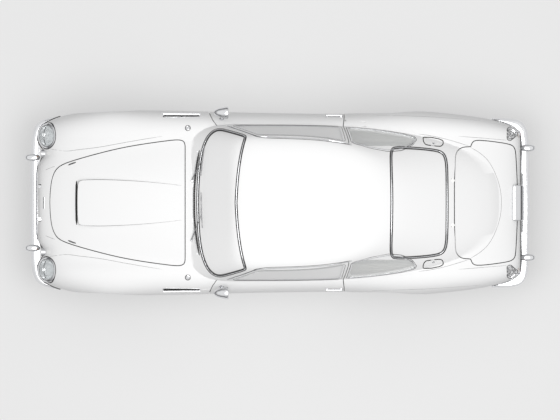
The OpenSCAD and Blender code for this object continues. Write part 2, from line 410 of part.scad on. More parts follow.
// A wheel about the y axis at the origin, its outer face towards +y
module wheel(bore_r) rotate([-90, 0, 0]) difference() {
  rotate_extrude($fn = 96) polygon([[188, -72], [206, -76], [206, -70], [190, -66], [186, -40], [172, -20], [172, 26], [186, 44], [190, 66], [206, 70], [206, 76], [186, 72],
    [178, 48], [164, 32], [60, 72], [48, 84], [30, 86], [24, 78], [24, 40], [44, 36], [44, 50], [160, 16], [164, -24], [178, -46], [182, -70]]);
  translate([0, 0, -40]) cylinder(r = bore_r, h = 160, $fn = 64);
}
module hub_wheel(r) { wheel(r); rotate([-90, 0, 0]) { difference() { translate([0, 0, 40]) cylinder(r = 46, h = 46, $fn = 64); translate([0, 0, -1]) cylinder(r = r, h = 100, $fn = 64); } } }
module tyre() rotate([-90, 0, 0]) rotate_extrude($fn = 96) polygon([[206.3, -70], [212, -76], [250, 2 - tyre_w/2], [300, 2 - tyre_w/2], [330, -76], [343, -66], [349, -40], [tyre_r, 0], [349, 40], [343, 66], [330, 76], [300, tyre_w/2 - 2], [250, tyre_w/2 - 2], [212, 76], [206.3, 70],
  [206.3, 66], [190.6, 65], [187, 44], [177, 31], [200, 31], [320, 50], [336, 0], [320, -50], [200, -30], [177, -24], [187, -40], [190.6, -65], [206.3, -66]]);
module at_wheel(x, y) translate([x, y, axle_z]) mirror([0, y < 0 ? 1 : 0, 0]) children();
module hinge_pins() {
  left_right() {
    for (z = [400, 710]) cz(hinge_door.x, hinge_door.y, 5, z - 30, z + 30);
    cy(hinge_bonnet.x, hinge_bonnet.y, 5, 130, 170);
    cy(hinge_boot.x, hinge_boot.y, 5, 180, 220);
    at_flap() translate([-32, 0, 0]) rotate([0, 90, 0]) cylinder(r = 2.5, h = 64, $fn = 32);
  }
}
module jacking_pads() left_right() for (x = [700, -480]) translate([x, 690, 178]) cylinder(r = 30, h = 12, $fn = 48);
module tow_eyes() left_right() { difference() { box(2010, 2090, 243, 257.9, 240, 365); cy(2062, 265, 16, 200, 300); } difference() { box(-2080, -2000, 243, 257, 265, 479.9); cy(-2052, 290, 16, 200, 300); } }
module boot_handle() mesh() difference() {
  side_bar([[-2071, 790], [-2074, 822], [-2100, 828], [-2150, 806], [-2172, 784], [-2175, 762], [-2166, 742], [-2140, 736], [-2100, 740]], 320);
  low(-0.4, 1, 1);
  intersection() { low(-7, 1, 1); box(-2300, -2116, -300, 300, 0, 1000); }
}

color(paint) body_shell();
color([0.2, 0.2, 0.21]) floor_pan();
color([0.35, 0.36, 0.38]) engine_block();
color([0.8, 0.8, 0.82]) front_bumper();
color([0.8, 0.8, 0.82]) rear_bumper();
color([0.8, 0.8, 0.82]) grille();
color([0.85, 0.9, 0.95]) headlamps();
color([0.9, 0.5, 0.1]) front_indicators();
color([0.7, 0.05, 0.05]) tail_lamps();
color([0.6, 0.75, 0.8, 0.4]) windscreen();
color([0.6, 0.75, 0.8, 0.4]) rear_window();
color([0.8, 0.8, 0.82]) window_trim();
color([0.6, 0.75, 0.8, 0.4]) quarter_windows();
color([0.3, 0.3, 0.32]) wing_vents();
color([0.2, 0.18, 0.17]) dashboard();
color([0.75, 0.72, 0.66]) front_seats();
color([0.75, 0.72, 0.66]) rear_seat();
color([0.35, 0.2, 0.1]) steering_wheel();
color([0.5, 0.5, 0.52]) wipers();
color([0.5, 0.5, 0.5]) exhaust();
color([0.25, 0.25, 0.26]) suspension();  // front_suspension
color([0.25, 0.25, 0.26]) rear_axle();
color([0.6, 0.6, 0.6]) hinge_pins();
color([0.2, 0.2, 0.21]) { jacking_pads(); tow_eyes(); }  // lifting_points
color(paint) bonnet();
color(paint) boot_lid();
color([0.8, 0.8, 0.82]) boot_handle();
color(paint) door();  // left_door
color([0.6, 0.75, 0.8, 0.4]) door_glass();  // left_door_glass
color([0.8, 0.8, 0.82]) door_fittings();  // left_door_fittings
color(paint) mirror([0, 1, 0]) door();  // right_door
color([0.6, 0.75, 0.8, 0.4]) mirror([0, 1, 0]) door_glass();  // right_door_glass
color([0.8, 0.8, 0.82]) mirror([0, 1, 0]) door_fittings();  // right_door_fittings
color(paint) fuel_flap();  // left_fuel_flap
color(paint) mirror([0, 1, 0]) fuel_flap();  // right_fuel_flap
color([0.3, 0.3, 0.31]) knuckle();  // left_knuckle
color([0.3, 0.3, 0.31]) mirror([0, 1, 0]) knuckle();  // right_knuckle
color([0.75, 0.75, 0.77]) at_wheel(front_axle_x, track_front/2) hub_wheel(20.06);  // front_left_wheel
color([0.08, 0.08, 0.08]) at_wheel(front_axle_x, track_front/2) tyre();  // front_left_tyre
color([0.75, 0.75, 0.77]) at_wheel(front_axle_x, -track_front/2) hub_wheel(20.06);  // front_right_wheel
color([0.08, 0.08, 0.08]) at_wheel(front_axle_x, -track_front/2) tyre();  // front_right_tyre
color([0.75, 0.75, 0.77]) at_wheel(-rear_axle_x, track_rear/2) hub_wheel(18.06);  // rear_left_wheel
color([0.08, 0.08, 0.08]) at_wheel(-rear_axle_x, track_rear/2) tyre();  // rear_left_tyre
color([0.75, 0.75, 0.77]) at_wheel(-rear_axle_x, -track_rear/2) hub_wheel(18.06);  // rear_right_wheel
color([0.08, 0.08, 0.08]) at_wheel(-rear_axle_x, -track_rear/2) tyre();  // rear_right_tyre
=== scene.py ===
# Looks for the grand tourer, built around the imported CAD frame.
import bpy, bmesh, math, random
import numpy as np
from mathutils import Vector, Matrix
from mathutils.bvhtree import BVHTree


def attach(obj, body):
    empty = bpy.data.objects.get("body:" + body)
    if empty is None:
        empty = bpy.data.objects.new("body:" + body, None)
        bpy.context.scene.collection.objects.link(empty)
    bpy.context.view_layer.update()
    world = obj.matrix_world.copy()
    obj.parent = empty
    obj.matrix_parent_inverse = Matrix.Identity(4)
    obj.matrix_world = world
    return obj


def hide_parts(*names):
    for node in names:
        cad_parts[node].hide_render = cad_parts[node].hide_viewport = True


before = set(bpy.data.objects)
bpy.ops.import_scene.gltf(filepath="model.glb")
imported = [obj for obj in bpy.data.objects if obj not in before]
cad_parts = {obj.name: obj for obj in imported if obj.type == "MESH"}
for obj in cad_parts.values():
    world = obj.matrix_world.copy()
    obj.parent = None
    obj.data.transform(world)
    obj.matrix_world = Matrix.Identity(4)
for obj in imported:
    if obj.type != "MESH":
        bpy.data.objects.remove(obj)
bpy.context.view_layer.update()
S = bpy.context.scene
rad = math.radians

# ------------------------------------------------------------------ curves
def bs(C, t):
    C = np.asarray(C, float); n = len(C)
    E = np.vstack([2*C[0] - C[1], C, 2*C[-1] - C[-2]])
    t = np.asarray(t, float)
    i = np.clip(np.floor(t).astype(int), 0, n - 2); f = (t - i)[..., None]
    a, b, c, d = E[i], E[i + 1], E[i + 2], E[i + 3]
    return ((1 - f)**3*a + (3*f**3 - 6*f**2 + 4)*b + (-3*f**3 + 3*f**2 + 3*f + 1)*c + f**3*d)/6

def curve(C, k):
    return bs(C, np.arange(k*(len(C) - 1) + 1)/k)

LOW = np.array([
  [-2146, 640, 300, 640, 400, 638, 470, 560, 440, 470],
  [-2146, 716, 420, 712, 520, 705, 585, 600, 560, 425],
  [-2130, 768, 450, 762, 575, 752, 640, 610, 600, 375],
  [-2060, 812, 480, 800, 600, 802, 690, 610, 645, 325],
  [-1950, 848, 505, 832, 615, 845, 727, 600, 682, 285],
  [-1780, 872, 530, 858, 630, 874, 764, 595, 718, 252],
  [-1560, 890, 550, 883, 648, 895, 790, 590, 742, 228],
  [-1300, 900, 570, 895, 660, 904, 817, 585, 760, 212],
  [-1050, 905, 580, 900, 664, 906, 821, 580, 768, 204],
  [-800, 905, 590, 900, 668, 903, 802, 575, 765, 200],
  [-500, 905, 600, 898, 672, 900, 788, 572, 762, 200],
  [-100, 905, 600, 896, 678, 898, 797, 570, 762, 200],
  [300, 905, 590, 890, 682, 894, 802, 570, 764, 200],
  [620, 925, 570, 882, 675, 886, 812, 568, 766, 200],
  [900, 928, 545, 862, 650, 872, 820, 565, 768, 200],
  [1200, 900, 520, 840, 636, 864, 823, 605, 768, 202],
  [1480, 866, 508, 816, 628, 854, 828, 705, 768, 210],
  [1720, 828, 500, 786, 622, 832, 812, 620, 758, 228],
  [1900, 794, 490, 752, 612, 792, 786, 538, 738, 255],
  [2030, 758, 478, 705, 602, 722, 748, 522, 704, 292],
  [2110, 720, 460, 655, 588, 642, 698, 502, 656, 335],
  [2148, 684, 430, 615, 566, 584, 645, 482, 600, 375],
  [2160, 636, 380, 575, 520, 545, 562, 470, 520, 400],
  [2162, 590, 300, 555, 420, 520, 440, 470, 400, 425],
  [2162, 560, 160, 540, 240, 515, 260, 480, 240, 450]], float)
CAB = np.array([
  [680, 1030, -2060, 740, 200, 5, 3],
  [800, 905, -2030, 718, 200, 5, 3],
  [900, 800, -1880, 698, 200, 5, 2.9],
  [1000, 699, -1610, 670, 180, 5, 2.7],
  [1100, 597, -1365, 642, 160, 4.9, 2.6],
  [1200, 495, -1130, 614, 120, 4.7, 2.6],
  [1262, 440, -985, 594, 60, 4.4, 2.7],
  [1298, 395, -830, 535, -20, 3.8, 2.7],
  [1325, 290, -650, 435, -80, 3.2, 2.5],
  [1340, 140, -470, 290, -120, 2.7, 2.3],
  [1348, -20, -290, 150, -140, 2.3, 2.1],
  [1349, -148, -152, 2, -150, 2, 2]], float)
SCOOP_H = 34.0

def scoop(x):
    return SCOOP_H*max(0, min(1, (x - 840)/967))**0.8

def notch(x, y):
    return np.where(x < 2000, 0, (x - 2000)*0.32*np.exp(-(((np.abs(y) - 440)/75)**4)))

def low_poly(R, d, e):
    Z0, Yv, Zv, Yc, Zc, W, Zw, Ws, Zs = R[1] - d, R[2], R[3] - d, R[4], R[5] - d, R[6] - d, R[7], R[8] - d, R[9] - e
    h, g = Zc - Zw, Zw - Zs
    return [[0, Z0], [0.42*Yv, Z0], [0.8*Yv, 0.55*Zv + 0.45*Z0], [Yv, Zv], [0.5*(Yv + Yc), 0.5*(Zv + Zc)], [Yc, Zc + 4],
            [Yc + 0.62*(W - Yc), Zc - 0.1*h], [W - 0.06*(W - Yc), Zc - 0.5*h], [W + 2, Zw + 0.12*h], [W + 2, Zw - 0.18*g],
            [W - 0.35*(W - Ws), Zs + 0.42*g], [Ws + 0.12*(W - Ws), Zs + 0.08*g], [Ws - 12, Zs], [0.6*Ws, Zs], [0, Zs]]

def low_ring(s, kv, d=0.0, e=0.0, up=False):
    R = bs(LOW, s)
    x = R[0]*(1 - d/2150)
    H = curve(low_poly(R, d - (scoop(R[0]) if up else 0), e), kv)
    P = np.column_stack([x - notch(x, H[:, 0]), H])
    Q = P[-2:0:-1]*[1, -1, 1]
    return np.vstack([P, Q])

def cab_ring(t, K, d=0.0):
    R = bs(CAB, t)
    z, xf, xr, w, xm = R[0] - d, R[1] - 0.41*d, R[2] + 0.1*d, max(1, R[3] - 0.77*d), R[4]
    p = 2*math.pi*(np.arange(K) + 0.5)/K
    c, s = np.cos(p), np.sin(p)
    n = np.where(c >= 0, R[5], R[6])
    k = (np.abs(c)**n + np.abs(s)**n)**(-1/n)
    a = np.where(c >= 0, max(1, xf - xm), max(1, xm - xr))
    return np.column_stack([xm + a*c*k, w*s*k, np.full(K, z)])[::-1]

# ------------------------------------------------------------------ meshes
def new_obj(name, verts, faces, mm=True):
    me = bpy.data.meshes.new(name)
    v = np.asarray(verts, float)*(0.001 if mm else 1)
    me.from_pydata(v.tolist(), [], faces)
    me.update()
    o = bpy.data.objects.new(name, me)
    S.collection.objects.link(o)
    return o

def ring_solid(name, rings, caps=True, mm=True):
    """A closed solid through rings of the same number of points; normals point outward where the rings run
    clockwise seen from the last ring."""
    n, m = len(rings), len(rings[0])
    V = [p for r in rings for p in r]
    F = []
    for i in range(n - 1):
        for j in range(m):
            a, b = i*m + j, i*m + (j + 1) % m
            F.append((a, a + m, b + m, b))
    if caps:
        c0, c1 = np.mean(rings[0], 0), np.mean(rings[-1], 0)
        V += [c0, c1]
        for j in range(m):
            F.append((n*m, j, (j + 1) % m))
            F.append((n*m + 1, (n - 1)*m + (j + 1) % m, (n - 1)*m + j))
    return new_obj(name, V, F, mm)

def low_solid(name, d=0.0, ks=2, kv=2, e=0.0, up=False, s0=0, s1=None):
    s1 = len(LOW) - 1 if s1 is None else s1
    return ring_solid(name, [low_ring(s0 + i/ks, kv, d, e, up) for i in range(int(ks*(s1 - s0)) + 1)])

def cab_solid(name, d=0.0, kt=2, K=72):
    return ring_solid(name, [cab_ring(i/kt, K, d) for i in range(kt*(len(CAB) - 1) + 1)])

def boolean(a, b, op, keep_b=False):
    m = a.modifiers.new("b", "BOOLEAN")
    m.operation, m.solver, m.object = op, "MANIFOLD", b
    dg = bpy.context.evaluated_depsgraph_get()
    me = bpy.data.meshes.new_from_object(a.evaluated_get(dg))
    a.modifiers.clear()
    old = a.data; a.data = me; bpy.data.meshes.remove(old)
    if not keep_b: delete(b)
    return a

def delete(*objs):
    for o in objs:
        me = o.data
        bpy.data.objects.remove(o)
        if me and me.users == 0: bpy.data.meshes.remove(me)

def copy(o, name):
    c = o.copy(); c.data = o.data.copy(); c.name = name
    S.collection.objects.link(c)
    return c

def area(P):
    P = np.asarray(P); Q = np.roll(P, -1, 0)
    return float(np.sum(P[:, 0]*Q[:, 1] - Q[:, 0]*P[:, 1]))

def turned(P, way):
    P = np.asarray(P, float)
    return P if area(P)*way > 0 else P[::-1]

def tri_fill(P):
    """Triangles of a simple polygon by ear clipping through Blender."""
    from mathutils.geometry import tessellate_polygon
    return [tuple(t) for t in tessellate_polygon([[Vector((p[0], p[1], 0)) for p in P]])]

def prism(name, outlines, levels, axis="z"):
    """A prism through outlines of equal length: [x, y] at heights, or [x, z] at y positions."""
    way = -1 if axis == "z" else 1
    R = []
    for A, l in zip(outlines, levels):
        A = turned(A, way)
        R.append([(p[0], p[1], l) for p in A] if axis == "z" else [(p[0], l, p[1]) for p in A])
    n, m = len(R), len(R[0])
    V = [p for r in R for p in r]
    F = [(i*m + j, (i + 1)*m + j, (i + 1)*m + (j + 1) % m, i*m + (j + 1) % m) for i in range(n - 1) for j in range(m)]
    T = tri_fill(turned(outlines[0], way))
    a0 = turned(outlines[0], way)
    def sgn(t):
        a, b, c = (a0[k] for k in t)
        return (b[0]-a[0])*(c[1]-a[1]) - (b[1]-a[1])*(c[0]-a[0])
    for t in T:
        t = t if sgn(t)*way > 0 else (t[0], t[2], t[1])
        F.append(t)
    a1 = turned(outlines[-1], way)
    T1 = tri_fill(a1)
    for t in T1:
        a, b, c = (a1[k] for k in t)
        s = (b[0]-a[0])*(c[1]-a[1]) - (b[1]-a[1])*(c[0]-a[0])
        t = t if s*way < 0 else (t[0], t[2], t[1])
        F.append(tuple((n - 1)*m + k for k in t))
    o = new_obj(name, V, F)
    fix_normals(o)
    return o

def fix_normals(o):
    bm = bmesh.new(); bm.from_mesh(o.data)
    bmesh.ops.recalc_face_normals(bm, faces=bm.faces)
    if bm.calc_volume(signed=True) < 0: bmesh.ops.reverse_faces(bm, faces=bm.faces)
    bm.to_mesh(o.data); bm.free(); o.data.update()

def box_obj(name, x0, x1, y0, y1, z0, z1):
    V = [(x, y, z) for x in (x0, x1) for y in (y0, y1) for z in (z0, z1)]
    F = [(0, 1, 3, 2), (4, 6, 7, 5), (0, 4, 5, 1), (2, 3, 7, 6), (0, 2, 6, 4), (1, 5, 7, 3)]
    o = new_obj(name, V, F); fix_normals(o); return o

def cyl_obj(name, p, axis, r, a, b, n=64, r2=None):
    """A cylinder from p + a*axis to p + b*axis (mm)."""
    ax = Vector(axis).normalized(); q = ax.to_track_quat("Z", "Y")
    r2 = r if r2 is None else r2
    V, F = [], []
    for k, (l, rr) in enumerate(((a, r), (b, r2))):
        for i in range(n):
            t = 2*math.pi*i/n
            V.append(Vector(p) + q @ Vector((rr*math.cos(t), rr*math.sin(t), l)))
    V += [Vector(p) + ax*a, Vector(p) + ax*b]
    for i in range(n):
        j = (i + 1) % n
        F += [(i, j, n + j, n + i), (2*n, j, i), (2*n + 1, n + i, n + j)]
    o = new_obj(name, [tuple(v) for v in V], F); fix_normals(o); return o

def both(P):
    P = np.asarray(P, float)
    Q = P[::-1]*[1, -1]
    return np.vstack([P, Q[1:-1]])

def round_both(P, k=6): return both(curve(P, k))

def grow(P, g):
    P = np.asarray(P, float)
    s = 1 if area(P) > 0 else -1
    t = np.roll(P, -1, 0) - np.roll(P, 1, 0)
    t = t/np.linalg.norm(t, axis=1)[:, None]
    return P + s*g*np.column_stack([t[:, 1], -t[:, 0]])

# ------------------------------------------------------------------ outlines (mm), as in the CAD
BONNET = [[2052, 0], [2048, 110], [2034, 222], [1998, 300], [1940, 342], [1800, 388], [1484, 474], [1245, 518], [1010, 550], [900, 562], [850, 545], [851, 480], [851, 300], [851, 0]]
BOOT = [[-1561, 0], [-1561, 380], [-1566, 440], [-1600, 486], [-1655, 497], [-1705, 494], [-1711, 515], [-1725, 548], [-1765, 556], [-1870, 547], [-1970, 533], [-2060, 518], [-2096, 490], [-2102, 420], [-2112, 240], [-2119, 0]]
SCREEN = [[742, 0], [740, 150], [728, 330], [704, 470], [662, 580], [610, 640], [545, 668], [470, 648], [400, 630], [322, 606], [296, 594], [318, 540], [350, 400], [376, 200], [386, 0]]
BACKLIGHT = [[-992, 0], [-990, 200], [-984, 380], [-984, 450], [-1000, 494], [-1050, 503], [-1250, 492], [-1400, 476], [-1462, 452], [-1492, 390], [-1498, 250], [-1499, 0]]
SCOOP = [[1807, 0], [1806, 120], [1798, 190], [1770, 203], [1560, 206], [1250, 192], [1000, 168], [866, 154], [856, 100], [856, 0]]
DOOR = [[632, 300], [632, 700], [629, 775], [612, 845], [576, 878], [520, 892], [468, 905], [330, 1072], [232, 1196], [206, 1228], [160, 1240], [60, 1246], [-200, 1250], [-450, 1248], [-590, 1243], [-612, 1225], [-606, 1180], [-572, 940], [-564, 900], [-568, 700], [-563, 400], [-556, 330], [-540, 285], [-500, 262], [-400, 258], [520, 258], [590, 262], [620, 276]]
DOOR_WINDOW = [[408, 930], [190, 1206], [150, 1216], [-200, 1222], [-560, 1216], [-572, 1200], [-538, 930], [-520, 922], [390, 922]]
QUARTER = [[-596, 930], [-640, 1200], [-660, 1212], [-800, 1196], [-960, 1150], [-1090, 1084], [-1180, 1010], [-1216, 952], [-1200, 926], [-1100, 918], [-620, 918]]
FLAP = [[-1280, 582], [-1284, 550], [-1300, 524], [-1330, 518], [-1400, 510], [-1432, 508], [-1450, 520], [-1454, 550], [-1420, 566], [-1350, 580]]

def shift_rear(P, x0, k):
    P = np.array(P, float)
    P[:, 0] += k*np.clip((x0 - P[:, 0])/60, 0, 1)
    return P

def soften(P, r=14, n=4):
    """Round the corners of a closed outline."""
    P = [Vector(p) for p in P]; out = []
    for i, p in enumerate(P):
        a, b = P[i - 1], P[(i + 1) % len(P)]
        u, v = (a - p), (b - p)
        k = min(r, u.length*0.45, v.length*0.45)
        if abs(u.normalized().dot(v.normalized()) + 1) < 0.003:
            out.append(tuple(p)); continue
        s, e = p + u.normalized()*k, p + v.normalized()*k
        for j in range(n + 1):
            t = j/n
            out.append(tuple((1 - t)**2*s + 2*t*(1 - t)*p + t*t*e))
    return np.array(out)

def bonnet_cut(g):
    P, Q = grow(round_both(BONNET), g), grow(round_both(BONNET), g - 21)
    return prism("c", [Q, Q, P, P], [560, 722, 745, 1000])
def boot_cut(g):
    P = grow(round_both(BOOT), g); Q = P.copy(); Q[:, 0] -= 6*np.clip((P[:, 0] + 1680)/60, 0, 1)
    return prism("c", [shift_rear(Q, -1950, 64), Q, Q, P, P], [600, 760, 985, 1016, 1100])
def screen_cut(g, z0=880, z1=1400):
    P = grow(round_both(SCREEN), g); return prism("c", [P, P], [z0, z1])
def backlight_cut(g, z0=900, z1=1400):
    P = grow(round_both(BACKLIGHT), g); return prism("c", [P, P], [z0, z1])
DOOR_S = soften(DOOR, 22, 4)
WINDOW_S = soften(DOOR_WINDOW, 18, 4)
QUARTER_S = soften(QUARTER, 20, 4)
FLAP_S = soften(FLAP, 10, 3)
def door_ring(g, Y):
    P = grow(DOOR_S, g); x, z = P[:, 0], P[:, 1]
    lean = 0.185*(785 - 0.53*np.maximum(0, z - 750) - Y)
    Q = P.copy(); Q[:, 0] = np.where(x < 0, x + lean, np.where(x > 560, x - (10 if Y < 790 else 7.5 if Y < 810 else 0), x))
    return Q
def door_cut(g, side):
    Y = [480, 780, 800, 814, 900]; R = [door_ring(g, y) for y in Y]
    return prism("c", R, Y, "y") if side > 0 else prism("c", R[::-1], [-y for y in Y[::-1]], "y")
def side_cut(P, side, a=508, b=760):
    return prism("c", [P, P], [a, b] if side > 0 else [-b, -a], "y")
def at_lamp_matrix(side):
    return Matrix.Translation((2.080, 0.597*side, 0.640)) @ Matrix.Rotation(rad(44), 4, "Y")
def superellipse(a, b, n, k):
    t = 2*math.pi*np.arange(k)/k; c, s = np.cos(t), np.sin(t)
    q = (np.abs(c)**n + np.abs(s)**n)**(-1/n)
    return np.column_stack([a*c*q, b*s*q])
def grille_cut(g, x0=2070, x1=2200):
    E = superellipse(306 + g, 80 + g, 3.4, 96)
    V = [(x0, p[0], 520 + p[1]) for p in E] + [(x1, p[0], 520 + p[1]) for p in E]
    n = len(E)
    F = [(j, (j + 1) % n, n + (j + 1) % n, n + j) for j in range(n)] + [tuple(range(n))[::-1], tuple(range(n, 2*n))]
    o = new_obj("c", V, F); fix_normals(o); return o
VENT = soften([[1050, 748], [1046, 806], [712, 806], [706, 748], [712, 740], [1044, 740]], 10, 3)

# ------------------------------------------------------------------ high resolution skins
KS, KV, KT, K = (3, 2, 2, 96)
low_hi = low_solid("low_hi", ks=KS, kv=KV); fix_normals(low_hi)
cab_hi = cab_solid("cab_hi", kt=KT, K=K); fix_normals(cab_hi)
bpy.context.view_layer.update()

def smooth_field(o):
    """(BVH, vertex normals, faces) of a smooth closed mesh, for transferring its normals to pieces cut from it."""
    me = o.data
    bm = bmesh.new(); bm.from_mesh(me); bmesh.ops.triangulate(bm, faces=bm.faces); bm.normal_update()
    tree = BVHTree.FromBMesh(bm)
    vn = [v.normal.copy() for v in bm.verts]
    co = [v.co.copy() for v in bm.verts]
    fs = [tuple(v.index for v in f.verts) for f in bm.faces]
    bm.free()
    return tree, vn, co, fs
FIELDS = [smooth_field(low_hi), smooth_field(cab_hi)]

def field_normal(p, fn, fields, tol):
    """The smooth skin's normal at p where p lies on a skin whose normal is near the face's own."""
    from mathutils.geometry import barycentric_transform
    for tree, vn, co, fs in fields:
        hit, n, idx, d = tree.find_nearest(p, tol)
        if hit is None: continue
        a, b, c = fs[idx]
        w = barycentric_transform(hit, co[a], co[b], co[c], vn[a], vn[b], vn[c])
        w.normalize()
        if w.dot(fn) > 0.75: return w
    return None

def smooth_on_skin(o, fields=None, tol=0.0006, angle=30):
    """Smooth shading by angle, with the analytic skin's normals where a face lies on it."""
    fields = FIELDS if fields is None else fields
    me = o.data
    for p in me.polygons: p.use_smooth = True
    me.update()
    cache = {}
    bm = bmesh.new(); bm.from_mesh(me); bm.normal_update()
    for e in bm.edges:
        e.smooth = not (len(e.link_faces) == 2 and e.calc_face_angle(0) > rad(angle))
    bm.to_mesh(me); bm.free()
    base = [tuple(c.vector) for c in me.corner_normals]
    out = []
    for p in me.polygons:
        fn = p.normal
        for li in p.loop_indices:
            v = me.loops[li].vertex_index
            key = (v, round(fn.x, 1), round(fn.y, 1), round(fn.z, 1))
            if key not in cache:
                cache[key] = field_normal(me.vertices[v].co, fn, fields, tol)
            w = cache[key]
            out.append(tuple(w) if w is not None else base[li])
    me.normals_split_custom_set(out)
    return o

def outer_pair():
    a = copy(low_hi, "a"); b = copy(cab_hi, "b")
    return boolean(a, b, "UNION")

def inner_pair(d, low_e=120, kt=2, K=72, ks=2, kv=2):
    a = low_solid("ia", d, ks, kv, low_e); fix_normals(a)
    b = cab_solid("ib", d, kt, K); fix_normals(b)
    return boolean(a, b, "UNION")

# ------------------------------------------------------------------ body shell
def build_shell():
    o = outer_pair(); o.name = "Body_Shell"
    pillars = copy(o, "p")
    boxes = None
    for s in (1, -1):
        for b in ((640, 800, 655, 900, 230, 900), (-760, -580, 640, 900, 230, 900), (-760, 800, 655, 900, 190, 250)):
            y0, y1 = sorted((b[2]*s, b[3]*s))
            bb = box_obj("bx", b[0], b[1], y0, y1, b[4], b[5])
            boxes = bb if boxes is None else boolean(boxes, bb, "UNION")
    boolean(pillars, boxes, "INTERSECT")
    boolean(o, inner_pair(20), "DIFFERENCE")
    boolean(o, pillars, "UNION")
    cuts = [bonnet_cut(8), boot_cut(8), screen_cut(0), backlight_cut(0), grille_cut(0.3)]
    for s in (1, -1):
        cuts += [cyl_obj("c", (1508, 400*s, 350), (0, s, 0), 388, 0, 500, 160), cyl_obj("c", (-981, 560*s, 350), (0, s, 0), 376, 0, 400, 160)]
        cuts += [door_cut(7, s), side_cut(QUARTER_S, s), side_cut(VENT, s, 730, 860)]
        F = grow(FLAP_S, 8.2)*[1, s]; cuts.append(prism("c", [F, F], [820, 1100]))
        c = cyl_obj("c", (0, 0, 0), (0, 0, 1), 114.6, -80, 120, 96); c.data.transform(at_lamp_matrix(s)); cuts.append(c)
        for z in (590, 655, 720): cuts.append(cyl_obj("c", (-2200, 612*s, z), (1, 0, 0), 31, 0, 115, 48))
        cuts.append(cyl_obj("c", (2000, 440*s, 585), (1, 0, 0), 31, 0, 200, 48))
        for z in (400, 710):
            y0, y1 = sorted((690*s, 797*s)); cuts.append(box_obj("c", 600, 712, y0, y1, z - 11, z + 11))
        y0, y1 = sorted((134*s, 166*s)); cuts.append(box_obj("c", 2010, 2158, y0, y1, 560, 692))
        y0, y1 = sorted((184*s, 216*s)); cuts.append(box_obj("c", -1560, -1480, y0, y1, 900, 1022))
    for c in cuts: boolean(o, c, "DIFFERENCE")
    return o

